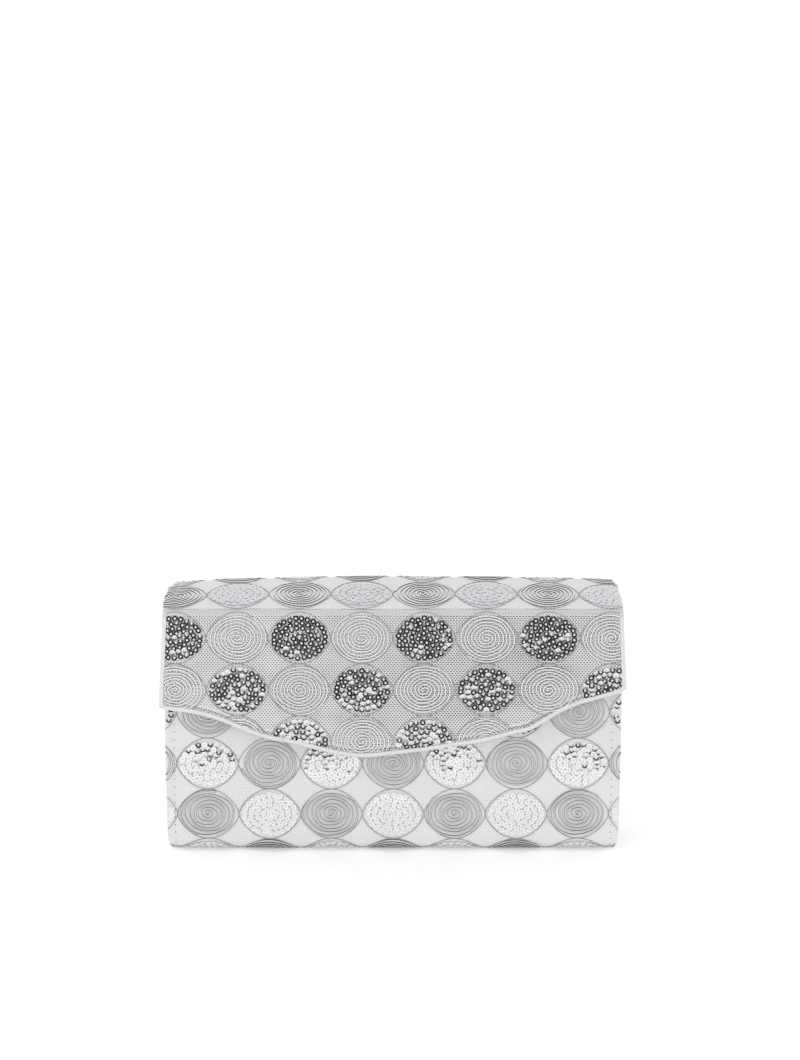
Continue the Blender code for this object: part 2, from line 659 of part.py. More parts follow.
STUD_PROFILE = [
    (0, PLATE_BOTTOM - PIN_LENGTH),
    (PIN_TIP_RADIUS, PLATE_BOTTOM - PIN_LENGTH),
    (PIN_ROOT_RADIUS, PLATE_BOTTOM),
    (STUD_RADIUS - SNAP_EDGE_ROUND, PLATE_BOTTOM),
    (STUD_RADIUS, PLATE_BOTTOM + SNAP_EDGE_ROUND),
    (STUD_RADIUS, PLATE_TOP),
    (0, PLATE_TOP),
]
STUD_WASHER_BOTTOM = FLAP_BOARD_FRONT + GAP
stud_foot = STUD_WASHER_BOTTOM + WASHER + GAP
stud = add("snap_stud", placed(turned(STUD_PROFILE)), NICKEL, FLAP_PIVOT)
for piece in prongs("stud_prongs", PLATE_TOP - PRONG, stud_foot + PRONG, stud_foot):
    boolean(stud, "UNION", piece)
washer("snap_stud_washer", STUD_WASHER_BOTTOM, STUD_SLOTS, FLAP_PIVOT)
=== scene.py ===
import math
import random

import bmesh
import bpy
import numpy as np
from mathutils import Matrix, Vector
from mathutils.kdtree import KDTree


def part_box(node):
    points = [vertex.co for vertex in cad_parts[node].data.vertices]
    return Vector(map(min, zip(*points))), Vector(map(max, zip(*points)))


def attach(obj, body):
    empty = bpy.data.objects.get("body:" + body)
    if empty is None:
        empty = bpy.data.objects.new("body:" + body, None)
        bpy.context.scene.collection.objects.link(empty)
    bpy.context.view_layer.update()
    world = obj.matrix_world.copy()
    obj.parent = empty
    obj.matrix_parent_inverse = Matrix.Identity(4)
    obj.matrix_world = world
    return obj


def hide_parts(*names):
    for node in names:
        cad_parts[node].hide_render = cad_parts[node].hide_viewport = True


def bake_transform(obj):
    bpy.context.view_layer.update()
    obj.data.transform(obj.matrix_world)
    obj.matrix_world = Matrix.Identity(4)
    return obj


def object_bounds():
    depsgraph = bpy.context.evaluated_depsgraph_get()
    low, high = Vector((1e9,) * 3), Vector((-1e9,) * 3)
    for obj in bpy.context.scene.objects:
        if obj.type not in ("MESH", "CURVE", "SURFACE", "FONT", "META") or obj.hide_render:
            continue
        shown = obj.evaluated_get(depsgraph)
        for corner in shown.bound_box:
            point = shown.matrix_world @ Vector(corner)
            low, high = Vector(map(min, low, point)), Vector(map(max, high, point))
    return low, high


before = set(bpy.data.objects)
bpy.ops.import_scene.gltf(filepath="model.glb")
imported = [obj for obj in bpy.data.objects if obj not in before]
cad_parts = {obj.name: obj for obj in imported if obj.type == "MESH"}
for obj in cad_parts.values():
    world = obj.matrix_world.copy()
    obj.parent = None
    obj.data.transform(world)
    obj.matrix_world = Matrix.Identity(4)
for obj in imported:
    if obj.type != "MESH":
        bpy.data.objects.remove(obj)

CAD_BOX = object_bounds()

# ---------------------------------------------------------------- sizes, in metres

# Side view: folds as arcs, joined by straight panels
FRONT_LEAN = math.radians(9)
BASE_RADIUS = 0.012
BACK_RADIUS = 0.008
CREASE_RADIUS = 0.003
RIM_SETBACK = 0.013
BELLY_CORNER = 0.0339
BELLY_START = 0.0556
CREASE_ABOVE_RIM = 0.0073
BACK_FOLD_ABOVE_RIM = 0.010
BACK_FOLD_SETBACK = 0.005

SKIN = 0.0003  # by which the cloth lies outside the frame's covers
CLOTH = 0.0006
SATIN = 0.0004
EDGE_ROLL = 0.0014  # radius at which the cloth rolls over the side edges
EDGE_TURN = 0.0016
RIM_ROUND = 0.0012
RIM_TURN_IN = 0.0065
FRONT_STACK = 0.0061  # from the front panel's face to the back of the cover turned in over its rim
FLAP_STACK = 0.0049

# Width and softness of the cloth
BODY_TAPER, TAPER_TOP = 0.0011, 0.075
LOWER_CORNER, LOWER_CORNER_TOP = 0.0018, 0.006  # how far in, and how high it begins
FLAP_OVERHANG = 0.0012
FLARE = (-0.004, 0.056)  # along the flap, from the crease
TOP_NARROWING, NARROWING_PLACE, NARROWING_REACH = 0.0034, -0.036, 0.013  # at the back fold
PANEL_SWELL = 0.0008
TOP_SWELL = 0.0006
FLAP_SWELL = 0.0005
SWELL_REACH = 0.012
GROOVE, GROOVE_WIDTH = 0.0004, 0.0012
HEM_GROOVE, HEM_GROOVE_WIDTH = 0.0003, 0.0010
FRONT_UNEVENNESS = 0.00022
WRAP_UNEVENNESS = 0.0002
LINING_SLACK = 0.00022
LEFT_DROOP, RIGHT_DROOP = 0.0034, 0.0020
DROOP_POWER = 2.6

# Embroidery: motifs in columns and rows
COLUMN = 0.0311
ROW = 0.0261
MOTIF_WIDTH = 0.0304
MOTIF_HEIGHT = 0.0258
DISC_WIDTH = 0.0284
DISC_HEIGHT = 0.0226
TOP_ROW_FROM_CREASE = -0.0148
FLAP_ROW_FROM_CREASE = 0.0132
FRONT_ROW_HEIGHT = 0.0473
SEQUIN = 0.00146  # radius
SEQUIN_HOLE = 0.00062
SEQUIN_DISH = 0.00002
SEQUIN_KNOT, SEQUIN_KNOT_HEIGHT = 0.00058, 0.00010
SEQUIN_RING = 0.0025
SEQUIN_SPACING = 0.00268
SEQUIN_STRAY = 0.00018
SEQUIN_LIFT, SEQUIN_LIFT_SPREAD = 0.00035, 0.00018
SEQUIN_TILT = math.radians(1.2)
CORD = 0.00040  # radius
CORD_REST = 0.7  # height of a laid cord's centre, as a share of its radius
CORD_MARGIN = 0.0003
FLAP_CORD_PITCH = 0.00152
BODY_CORD_PITCH = 0.00176
SPIRAL_START = 0.9  # angle at which a spiral's cord comes up
SPIRAL_STEP, SPIRAL_TURN = 0.0011, 0.42  # at most, from one point of the cord to the next
WIDE_SHAKE, FINE_SHAKE = 0.00016, 0.00010  # of the hand that laid the cord
THREAD = 0.00022  # radius
THREAD_BOW = 0.62  # power of the cosine that the thread follows; less makes it squarer

# Flap edge: distance down from the crease at places across the bag
FLAP_EDGE = (
    (-0.1160, 0.0494),
    (-0.1009, 0.0514),
    (-0.0873, 0.0550),
    (-0.0757, 0.0598),
    (-0.0656, 0.0636),
    (-0.0485, 0.0672),
    (-0.0370, 0.0702),
    (-0.0179, 0.0736),
    (0.0033, 0.0720),
    (0.0184, 0.0701),
    (0.0324, 0.0679),
    (0.0435, 0.0662),
    (0.0581, 0.0626),
    (0.0712, 0.0588),
    (0.0767, 0.0554),
    (0.0837, 0.0512),
    (0.0938, 0.0468),
    (0.1064, 0.0432),
    (0.1160, 0.0402),
)
FLAP_CORNER = 0.004
STITCH_FROM_SIDE = 0.0050
BAND = 0.0024
BAND_STITCH = 0.0036
HEM_PITCH, HEM_STITCH, HEM_THREAD = 0.0012, 0.0006, 0.0002

# Camera
CAMERA_ELEVATION = math.radians(18)
CAMERA_DISTANCE = 1.9
SEEN_HEIGHT = 0.5335  # at the bag
SHIFT_X = 0.0066
SHIFT_Y = 0.1812

# Studio
FLOOR_SIZE = 30.0
CARD_PLACE = (0.08, -1.0, 0.239)
CARD_WIDTH, CARD_HEIGHT = 0.78, 0.372
LAMP_PLACE, LAMP_TARGET = (-0.6, -0.7, 1.5), (0, 0, 0.05)
LAMP_SIZE, LAMP_WATTS = 0.8, 3


# ---------------------------------------------------------------- camera, floor and light


def add_camera():
    """Long lens from the front and a little above, shifted so that the bag stands low in the picture."""
    data = bpy.data.cameras.new("camera")
    data.sensor_fit = "VERTICAL"
    data.sensor_height = 36.0
    data.lens = data.sensor_height * CAMERA_DISTANCE / SEEN_HEIGHT
    data.shift_x, data.shift_y = SHIFT_X, SHIFT_Y
    camera = bpy.data.objects.new("camera", data)
    bpy.context.scene.collection.objects.link(camera)
    low, high = CAD_BOX
    target = Vector((0, low.y / 2, (low.z + high.z) / 2))
    back = Vector((0, -math.cos(CAMERA_ELEVATION), math.sin(CAMERA_ELEVATION)))
    camera.location = target + back * CAMERA_DISTANCE
    camera.rotation_euler = (-back).to_track_quat("-Z", "Y").to_euler()
    bpy.context.scene.camera = camera


def stage_plane(name, size, place, finish):
    """Square sheet for the studio, which isn't part of the bag."""
    bm = bmesh.new()
    bmesh.ops.create_grid(bm, x_segments=1, y_segments=1, size=size / 2)
    bmesh.ops.transform(bm, matrix=place, verts=bm.verts)
    mesh = bpy.data.meshes.new(name)
    bm.to_mesh(mesh)
    bm.free()
    mesh.materials.append(finish)
    made = bpy.data.objects.new(name, mesh)
    bpy.context.scene.collection.objects.link(made)
    return made


def soft_light(name, place, target, size, watts):
    """Square area lamp that points at a target."""
    data = bpy.data.lights.new(name, "AREA")
    data.shape = "SQUARE"
    data.size = size
    data.energy = watts
    lamp = bpy.data.objects.new(name, data)
    lamp.location = place
    lamp.rotation_euler = (Vector(target) - Vector(place)).to_track_quat("-Z", "Y").to_euler()
    lamp.visible_glossy = False
    bpy.context.scene.collection.objects.link(lamp)


def add_sky():
    """Even light, white round the horizon and a little cooler and dimmer overhead."""
    world = bpy.data.worlds.new("studio")
    world.use_nodes = True
    tree = world.node_tree
    toward = Value(tree, tree.nodes.new("ShaderNodeTexCoord").outputs["Generated"])
    parts = tree.nodes.new("ShaderNodeSeparateXYZ")
    tree.links.new(toward.socket, parts.inputs[0])
    rise = node(tree, "ShaderNodeMapRange", {}, Value(tree, parts.outputs[2]), 0.25, 0.75, 0.0, 1.0)
    colour = mixed(tree, rise, (1.08, 1.08, 1.08, 1), (0.83, 0.84, 0.86, 1))
    tree.links.new(colour.socket, tree.nodes["Background"].inputs["Color"])
    bpy.context.scene.world = world


# ---------------------------------------------------------------- shader helpers


class Value:
    """A socket in a material's node tree, on which ordinary arithmetic adds Math nodes."""

    def __init__(self, tree, socket):
        self.tree, self.socket = tree, socket

    def math(self, operation, *others):
        return node(self.tree, "ShaderNodeMath", {"operation": operation}, self, *others)

    def __add__(self, other):
        return self.math("ADD", other)

    def __sub__(self, other):
        return self.math("SUBTRACT", other)

    def __mul__(self, other):
        return self.math("MULTIPLY", other)

    def __truediv__(self, other):
        return self.math("DIVIDE", other)

    def __rsub__(self, other):
        return node(self.tree, "ShaderNodeMath", {"operation": "SUBTRACT"}, other, self)

    __radd__, __rmul__ = __add__, __mul__

    def below(self, limit):
        return self.math("LESS_THAN", limit)


def node(tree, kind, settings, *inputs, output=0, **named):
    """Adds a node, sets its settings, fills its sockets and gives back one of its outputs."""
    made = tree.nodes.new(kind)
    for key, value in settings.items():
        setattr(made, key, value)
    for key, value in [*enumerate(inputs), *named.items()]:
        if value is None:
            continue
        socket = made.inputs[key if isinstance(key, int) else key.replace("_", " ")]
        if isinstance(value, Value):
            tree.links.new(value.socket, socket)
        else:
            socket.default_value = value
    return Value(tree, made.outputs[output])


def mixed(tree, share, first, second):
    """Colour between two colours."""
    unused = [None] * 5
    return node(tree, "ShaderNodeMix", {"data_type": "RGBA"}, share, *unused, first, second, output=2)


def finish(name, colour, roughness, metallic=0.0, **fixed):
    """A Principled material, with its tree and shader."""
    made = bpy.data.materials.new(name)
    made.use_nodes = True
    shader = made.node_tree.nodes["Principled BSDF"]
    shader.inputs["Base Color"].default_value = (*colour, 1)
    shader.inputs["Roughness"].default_value = roughness
    shader.inputs["Metallic"].default_value = metallic
    for key, value in fixed.items():
        shader.inputs[key.replace("_", " ")].default_value = value
    return made, made.node_tree, shader


def drive(tree, shader, **sockets):
    """Links values to a shader's sockets."""
    for key, value in sockets.items():
        tree.links.new(value.socket, shader.inputs[key.replace("_", " ")])


def bumped(tree, height, distance, strength=1.0):
    """Normal from a height."""
    return node(tree, "ShaderNodeBump", {}, Strength=strength, Distance=distance, Height=height)


def noise(tree, scale, detail=2.0, stretch=(1, 1, 1)):
    """Noise on the object's own coordinates."""
    place = Value(tree, tree.nodes.new("ShaderNodeTexCoord").outputs["Object"])
    turned = node(tree, "ShaderNodeMapping", {}, place, Scale=stretch)
    return node(tree, "ShaderNodeTexNoise", {}, Vector=turned, Scale=scale, Detail=detail)


def cloth_place(tree):
    """Distance across and along the cloth, in metres, from the piece's own map."""
    sheet = node(tree, "ShaderNodeUVMap", {"uv_map": "cloth"})
    parts = tree.nodes.new("ShaderNodeSeparateXYZ")
    tree.links.new(sheet.socket, parts.inputs[0])
    return Value(tree, parts.outputs[0]), Value(tree, parts.outputs[1])


# ---------------------------------------------------------------- materials

MESH_PITCH = 0.00156
MESH_ROW = 0.00092
MESH_HOLE = 0.00034
STITCH_PITCH = 0.0040
NEEDLE_HOLE = 0.00030


def mesh_over_foil(name, hole_size, foil_roughness):
    """White tricot mesh with staggered holes over silver cloth, with painted shade in needle holes at the
    sides.
    """
    made, tree, shader = finish(name, (0.8, 0.8, 0.8), 0.5)
    across, along = cloth_place(tree)
    row = along / MESH_ROW
    stagger = row.math("FLOOR").math("MULTIPLY", 0.5).math("FRACT")
    dx = ((across / MESH_PITCH + stagger).math("FRACT") - 0.5) * MESH_PITCH
    dy = (row.math("FRACT") - 0.5) * MESH_ROW
    reach = (dx * dx + dy * dy * 0.8).math("SQRT")
    wander = noise(tree, 90.0, 1.0) * 0.00018
    hole = (reach + wander).below(hole_size + 0.00008)
    needle_x = (across.math("ABSOLUTE") - STITCH_LINE).math("ABSOLUTE")
    needle_y = ((along / STITCH_PITCH).math("FRACT") - 0.5) * STITCH_PITCH
    needle_hole_shade = (needle_x * needle_x + needle_y * needle_y).math("SQRT").below(NEEDLE_HOLE)
    blotch = noise(tree, 14.0, 2.0)
    thread = mixed(tree, blotch, (0.71, 0.72, 0.72, 1), (0.81, 0.81, 0.81, 1))
    ground = mixed(tree, hole, thread, (0.60, 0.61, 0.62, 1))
    # painted shade: the needle holes along the side stitch lines are coloured near-black
    drive(tree, shader, Base_Color=mixed(tree, needle_hole_shade, ground, (0.16, 0.16, 0.17, 1)))
    drive(tree, shader, Metallic=hole, Roughness=0.55 - hole * (0.55 - foil_roughness))
    round_thread = (reach / MESH_HOLE).math("MINIMUM", 1.6)
    drive(tree, shader, Normal=bumped(tree, round_thread, 0.00012, 0.5))
    return made


def sequin_film():
    """Silvered plastic film."""
    made, tree, shader = finish("sequin_film", (0.8, 0.8, 0.8), 0.1, 1.0)
    tint = mixed(tree, noise(tree, 120.0, 1.0), (0.76, 0.76, 0.77, 1), (0.90, 0.90, 0.90, 1))
    drive(tree, shader, Base_Color=tint)
    drive(tree, shader, Roughness=0.05 + noise(tree, 300.0, 1.0) * 0.10)
    return made


def metal_cord(name, dark_below, light_above):
    """Flat metal strip wound round a core, its own bright colour along the crown and painted shade darkening
    it down the sides.
    """
    made, tree, shader = finish(name, (0.80, 0.80, 0.81), 0.35, 0.3)
    grain = noise(tree, 900.0, 2.0)
    crown = node(tree, "ShaderNodeAttribute", {"attribute_name": "crown"}, output=2)
    light = mixed(tree, grain, (0.86, 0.86, 0.85, 1), (1.0, 1.0, 0.98, 1))
    smooth = {"interpolation_type": "SMOOTHSTEP"}
    lit = node(tree, "ShaderNodeMapRange", smooth, crown, dark_below, light_above, 0.0, 1.0)
    # painted shade: towards the sides, where the cord turns down to the cloth, its colour goes to near-black
    drive(tree, shader, Base_Color=mixed(tree, lit, (0.10, 0.10, 0.10, 1), light))
    drive(tree, shader, Roughness=0.25 + grain * 0.3)
    drive(tree, shader, Normal=bumped(tree, grain, 0.00015, 0.5))
    return made


def sewing_thread():
    """Grey silver-flecked thread."""
    made, tree, shader = finish("sewing_thread", (0.5, 0.5, 0.5), 0.45, 0.4)
    grain = noise(tree, 1800.0, 1.0)
    drive(tree, shader, Base_Color=mixed(tree, grain, (0.24, 0.24, 0.25, 1), (0.66, 0.66, 0.67, 1)))
    return made


def white_thread():
    """Plain thread of the seams and of the knots that hold the sequins."""
    made, tree, shader = finish("white_thread", (0.62, 0.62, 0.62), 0.6)
    grain = noise(tree, 1500.0, 1.0)
    drive(tree, shader, Base_Color=mixed(tree, grain, (0.66, 0.66, 0.66, 1), (0.86, 0.86, 0.86, 1)))
    return made


def satin(name, dark, light, scale=2400.0):
    """Fine satin with a faint weave."""
    made, tree, shader = finish(name, light[:3], 0.38, 0.0, Sheen_Weight=0.3, Sheen_Roughness=0.35)
    weave = noise(tree, scale, 1.0, (1.0, 1.0, 0.12))
    shade = weave * 0.6 + noise(tree, 9.0) * 0.4
    drive(tree, shader, Base_Color=mixed(tree, shade, (*dark, 1), (*light, 1)))
    drive(tree, shader, Roughness=0.30 + weave * 0.22)
    drive(tree, shader, Normal=bumped(tree, weave, 0.00010, 0.35))
    return made


def nickel():
    """Polished plate with fine scratches."""
    made, tree, shader = finish("nickel_plate", (0.78, 0.77, 0.75), 0.2, 1.0)
    scratches = noise(tree, 500.0, 3.0, (1.0, 1.0, 8.0))
    drive(tree, shader, Roughness=0.12 + scratches * 0.22)
    drive(tree, shader, Normal=bumped(tree, scratches, 0.00003, 0.4))
    return made


def fibrous(name, dark, light, scale, roughness):
    """Board or foam."""
    made, tree, shader = finish(name, light, roughness)
    grain = noise(tree, scale, 4.0)
    drive(tree, shader, Base_Color=mixed(tree, grain, (*dark, 1), (*light, 1)))
    drive(tree, shader, Normal=bumped(tree, grain, 0.0002, 0.6))
    return made


def white_floor():
    """Matt white that gives a little light of its own, so that it runs out into the sky."""
    made, _, shader = finish("white_floor", (0.90, 0.90, 0.90), 0.8, 0.0, Specular_IOR_Level=0.1)
    shader.inputs["Emission Color"].default_value = (1, 1, 1, 1)
    shader.inputs["Emission Strength"].default_value = 0.24
    return made


def black_card():
    """Matt black of the card that the shiny pieces mirror."""
    return finish("black_card", (0.03, 0.03, 0.032), 1.0, 0.0, Specular_IOR_Level=0.0)[0]


# ---------------------------------------------------------------- the bag in side view


def heading(angle):
    """Direction at an angle in side view, counted from the back of the bag upwards."""
    return np.array([math.cos(angle), math.sin(angle)])


def arc(centre, radius, start, end):
    """Places along part of a circle."""
    steps = max(3, round(abs(end - start) / math.radians(5)))
    return [centre + radius * heading(start + (end - start) * i / steps) for i in range(steps + 1)]


def outward_angle(first, first_radius, second, second_radius):
    """Angle of the outward normal of the panel between two folds."""
    dy, dz = second - first
    lean = math.acos((first_radius - second_radius) / math.hypot(dy, dz))
    return (math.atan2(dz, dy) - lean) % math.tau


class Strip:
    """A line in side view, with the distance along it, the place and the outward normal."""

    STEP = 0.0004

    def __init__(self, points):
        points = np.array(points)
        keep = [0]
        for i in range(1, len(points)):
            if np.linalg.norm(points[i] - points[keep[-1]]) > 1e-6:
                keep.append(i)
        points = points[keep]
        run = np.concatenate([[0], np.cumsum(np.linalg.norm(np.diff(points, axis=0), axis=1))])
        self.run = np.linspace(0, run[-1], int(run[-1] / self.STEP) + 1)
        self.points = np.stack([np.interp(self.run, run, points[:, i]) for i in (0, 1)], axis=1)
        self.normals = self.smooth_normals()
        self.origin = 0.0

    def smooth_normals(self):
        """Normals at the line's points, each from a few points on both sides."""
        slope = np.pad(np.gradient(self.points, axis=0), ((2, 2), (0, 0)), "edge")
        window = np.ones(5) / 5
        slope = np.stack([np.convolve(slope[:, i], window, "valid") for i in (0, 1)], axis=1)
        slope /= np.linalg.norm(slope, axis=1)[:, None]
        return np.stack([slope[:, 1], -slope[:, 0]], axis=1)

    def nearest(self, point):
        """Distance along the line of its point nearest to a place."""
        gap = np.linalg.norm(self.points - np.array(point), axis=1)
        return self.run[int(gap.argmin())] - self.origin

    def start_from(self, point):
        """Counts distances from the point of the line nearest to a place."""
        self.origin = 0.0
        self.origin = self.nearest(point)
        return self

    @property
    def low(self):
        """Distance of the line's first point, counted from where it starts."""
        return -self.origin

    @property
    def high(self):
        """Distance of its last point."""
        return self.run[-1] - self.origin

    def at(self, distance):
        """Places and normals at distances along the line."""
        where = np.clip(np.asarray(distance, float) + self.origin, 0, self.run[-1])
        place = np.stack([np.interp(where, self.run, self.points[:, i]) for i in (0, 1)], axis=-1)
        out = np.stack([np.interp(where, self.run, self.normals[:, i]) for i in (0, 1)], axis=-1)
        return place, out / np.linalg.norm(out, axis=-1, keepdims=True)


BELLY_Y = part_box("front_cover")[0].y
REAR_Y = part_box("back_cover")[1].y
RIM_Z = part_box("front_cover")[1].z
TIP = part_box("flap_edge_binding")[0]
HALF_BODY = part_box("back_cover")[1].x
HALF_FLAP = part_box("flap_edge_binding")[1].x
STITCH_LINE = HALF_BODY - STITCH_FROM_SIDE

DOWN_FRONT = np.array([-math.sin(FRONT_LEAN), -math.cos(FRONT_LEAN)])
OUT_FRONT = np.array([-math.cos(FRONT_LEAN), math.sin(FRONT_LEAN)])
RIM = np.array([BELLY_Y + RIM_SETBACK, RIM_Z])
FRONT_FOLD = np.array([BELLY_Y + BASE_RADIUS, BASE_RADIUS])
REAR_FOLD = np.array([REAR_Y - BASE_RADIUS, BASE_RADIUS])
BACK_FOLD = np.array([REAR_Y - BACK_FOLD_SETBACK - BACK_RADIUS, RIM_Z + BACK_FOLD_ABOVE_RIM])
CREASE_Z = RIM_Z + CREASE_ABOVE_RIM
CREASE_RISE = (CREASE_Z - TIP.z + CREASE_RADIUS * math.sin(FRONT_LEAN)) / math.cos(FRONT_LEAN)
CREASE = np.array([TIP.y, TIP.z]) - DOWN_FRONT * CREASE_RISE - OUT_FRONT * CREASE_RADIUS

FRONT_ANGLE = math.pi - FRONT_LEAN
BACK_ANGLE = outward_angle(REAR_FOLD, BASE_RADIUS, BACK_FOLD, BACK_RADIUS)
SPINE_ANGLE = outward_angle(BACK_FOLD, BACK_RADIUS, CREASE, CREASE_RADIUS)
FLAP_TOP = CREASE + CREASE_RADIUS * OUT_FRONT
FLAP_LENGTH = CREASE_RISE + 0.010
BASE_MIDDLE = np.array([(FRONT_FOLD[0] + REAR_FOLD[0]) / 2, 0.0])


def on_front(height):
    """Place on the leaning front, carried on down as a straight line."""
    return RIM + DOWN_FRONT * (RIM_Z - height) / math.cos(FRONT_LEAN)


def belly():
    """The rounding from the leaning front into the belly."""
    start, corner, end = on_front(BELLY_START), on_front(BELLY_CORNER), FRONT_FOLD - [BASE_RADIUS, 0]
    shares = np.linspace(0, 1, 16)
    return [start * (1 - t) ** 2 + corner * 2 * t * (1 - t) + end * t**2 for t in shares]


RIM_BACK = RIM - OUT_FRONT * FRONT_STACK
RIM_TOP_ANGLE = math.pi / 2 - FRONT_LEAN
INNER_ROUND = RIM_BACK + (DOWN_FRONT + OUT_FRONT) * RIM_ROUND
OUTER_ROUND = RIM + (DOWN_FRONT - OUT_FRONT) * RIM_ROUND
FRONT_LINE = Strip(
    [RIM_BACK + DOWN_FRONT * RIM_TURN_IN]
    + arc(INNER_ROUND, RIM_ROUND, -FRONT_LEAN, RIM_TOP_ANGLE)
    + arc(OUTER_ROUND, RIM_ROUND, RIM_TOP_ANGLE, FRONT_ANGLE)
    + belly()
    + arc(FRONT_FOLD, BASE_RADIUS, math.pi, 1.5 * math.pi)
    + [BASE_MIDDLE]
).start_from(RIM)
WRAP_LINE = Strip(
    [BASE_MIDDLE]
    + arc(REAR_FOLD, BASE_RADIUS, -math.pi / 2, BACK_ANGLE)
    + arc(BACK_FOLD, BACK_RADIUS, BACK_ANGLE, SPINE_ANGLE)
    + arc(CREASE, CREASE_RADIUS, SPINE_ANGLE, FRONT_ANGLE)
    + [FLAP_TOP + DOWN_FRONT * FLAP_LENGTH]
).start_from(CREASE + CREASE_RADIUS * heading((SPINE_ANGLE + FRONT_ANGLE) / 2))

# Where the folds begin and end, as places and as distances along the two lines
FOLD_START = BACK_FOLD + BACK_RADIUS * heading(BACK_ANGLE)
FOLD_END = BACK_FOLD + BACK_RADIUS * heading(SPINE_ANGLE)
CREASE_START = CREASE + CREASE_RADIUS * heading(SPINE_ANGLE)
FOLD_FROM = WRAP_LINE.nearest(FOLD_START)
FOLD_TO = WRAP_LINE.nearest(FOLD_END)
SEAM = WRAP_LINE.nearest(CREASE_START)
REAR_ARC_TO = WRAP_LINE.nearest(REAR_FOLD + BASE_RADIUS * heading(BACK_ANGLE))
FRONT_ARC_FROM = FRONT_LINE.nearest(FRONT_FOLD - [BASE_RADIUS, 0])
FRONT_ARC_TO = FRONT_LINE.nearest(FRONT_FOLD - [0, BASE_RADIUS])


# ---------------------------------------------------------------- cloth surface


def smoothstep(low, high, value):
    """0 below low, 1 above high, and a smooth rise between."""
    share = np.clip((value - low) / (high - low), 0, 1)
    return share * share * (3 - 2 * share)


def between(value, rise, fall):
    """1 between a rise and a fall, each given by where it starts and ends, and 0 outside them."""
    return smoothstep(*rise, value) * (1 - smoothstep(*fall, value))


def near(distance, reach):
    """1 at a line, falling off over about reach on both sides of it."""
    return np.exp(-((distance / reach) ** 2))


def ripple(x, s, seed):
    """Gentle unevenness, between -1 and 1."""
    a = np.sin(x * 61 + seed * 1.7) * np.sin(s * 83 + seed * 2.3)
    b = np.sin(x * 143 - s * 97 + seed * 0.9)
    return a * 0.65 + b * 0.35


def flap_edge(x):
    """Distance from the crease down to the flap's edge, smoothly through the given places."""
    xs, drops = np.array(FLAP_EDGE).T
    slopes = np.gradient(drops, xs)
    x = np.clip(np.asarray(x, float), xs[0], xs[-1])
    i = np.clip(np.searchsorted(xs, x) - 1, 0, len(xs) - 2)
    width = xs[i + 1] - xs[i]
    t = (x - xs[i]) / width
    start = drops[i] * (1 + 2 * t) * (1 - t) ** 2 + slopes[i] * width * t * (1 - t) ** 2
    end = drops[i + 1] * t**2 * (3 - 2 * t) - slopes[i + 1] * width * t**2 * (1 - t)
    return start + end


def droop(x, y, z):
    """How far the ends of the back fold sink, more at the left, so that the top is crowned."""
    most = np.where(x < 0, LEFT_DROOP, RIGHT_DROOP)
    ends = most * np.clip(np.abs(x) / HALF_BODY, 0, 1) ** DROOP_POWER
    return ends * smoothstep(CREASE[0] + 0.002, BACK_FOLD[0], y) * smoothstep(0.085, 0.125, z)


class Cloth:
    """A strip with a width: places things by their distance across and along the cloth, and above it."""

    def __init__(self, line, half, swell):
        self.line, self.half, self.swell = line, half, swell

    def place(self, x, s, above=0.0):
        """Places and normals on the cloth, which rolls over at its side edges."""
        x, s = np.broadcast_arrays(np.asarray(x, float), np.asarray(s, float))
        side, out = np.sign(x), np.abs(x)
        half = self.half(s)
        over = np.clip((out - half + EDGE_ROLL) / EDGE_ROLL, 0, math.pi / 2)
        past = np.clip(out - (half - EDGE_ROLL + EDGE_ROLL * math.pi / 2), 0, None)
        flat = np.minimum(out, half - EDGE_ROLL)
        drop = EDGE_ROLL * (1 - np.cos(over)) + past
        height = SKIN + self.swell(x, s) - drop
        spot, normal = self.line.at(s)
        reach = flat + EDGE_ROLL * np.sin(over)
        nx = side * np.sin(over)
        ny = normal[..., 0] * np.cos(over)
        nz = normal[..., 1] * np.cos(over)
        px = side * reach + nx * above
        py = spot[..., 0] + normal[..., 0] * height + ny * above
        pz = spot[..., 1] + normal[..., 1] * height + nz * above
        pz = pz - droop(px, spot[..., 0], spot[..., 1])
        return np.stack([px, py, pz], -1), np.stack([nx, ny, nz], -1)


def front_swell(x, s):
    """How far the front stands out from its line: the foam's swell, the stitches' groove, unevenness."""
    sides = smoothstep(0.0, SWELL_REACH, STITCH_LINE - np.abs(x))
    below_rim = smoothstep(0.004, 0.020, s)
    above_base = 1 - smoothstep(0.100, 0.122, s)
    groove = GROOVE * near(np.abs(x) - STITCH_LINE, GROOVE_WIDTH) * smoothstep(0.002, 0.006, s)
    swell = PANEL_SWELL * sides * below_rim * above_base
    return swell - groove + FRONT_UNEVENNESS * ripple(x, s, 1) * below_rim


def wrap_swell(x, s):
    """The same for the cloth of the back, the top and the flap, with a groove along the flap's hem."""
    above_hem = flap_edge(x) - BAND_STITCH - s
    sides = smoothstep(0.0, SWELL_REACH, STITCH_LINE - np.abs(x))
    back = between(s, (-0.165, -0.150), (-0.050, -0.040))
    top = between(s, (-0.030, -0.022), (-0.008, -0.001))
    flap = smoothstep(0.004, 0.016, s) * smoothstep(0.0, SWELL_REACH, above_hem)
    groove = near(np.abs(x) - STITCH_LINE, GROOVE_WIDTH) * (1 - smoothstep(-0.045, -0.035, s))
    hem = near(above_hem, HEM_GROOVE_WIDTH) * smoothstep(0.0, 0.01, s)
    swell = PANEL_SWELL * sides * back + TOP_SWELL * sides * top + FLAP_SWELL * flap * sides
    return swell - GROOVE * groove - HEM_GROOVE * hem + WRAP_UNEVENNESS * ripple(x, s, 5)


def body_half(z):
    """Half width of the body, which narrows a little downwards and is rounded at its lower corners."""
    z = np.clip(z, 0, None)
    taper = BODY_TAPER * np.clip(1 - z / TAPER_TOP, 0, 1)
    return HALF_BODY - taper - LOWER_CORNER * (1 - smoothstep(-0.001, LOWER_CORNER_TOP, z))


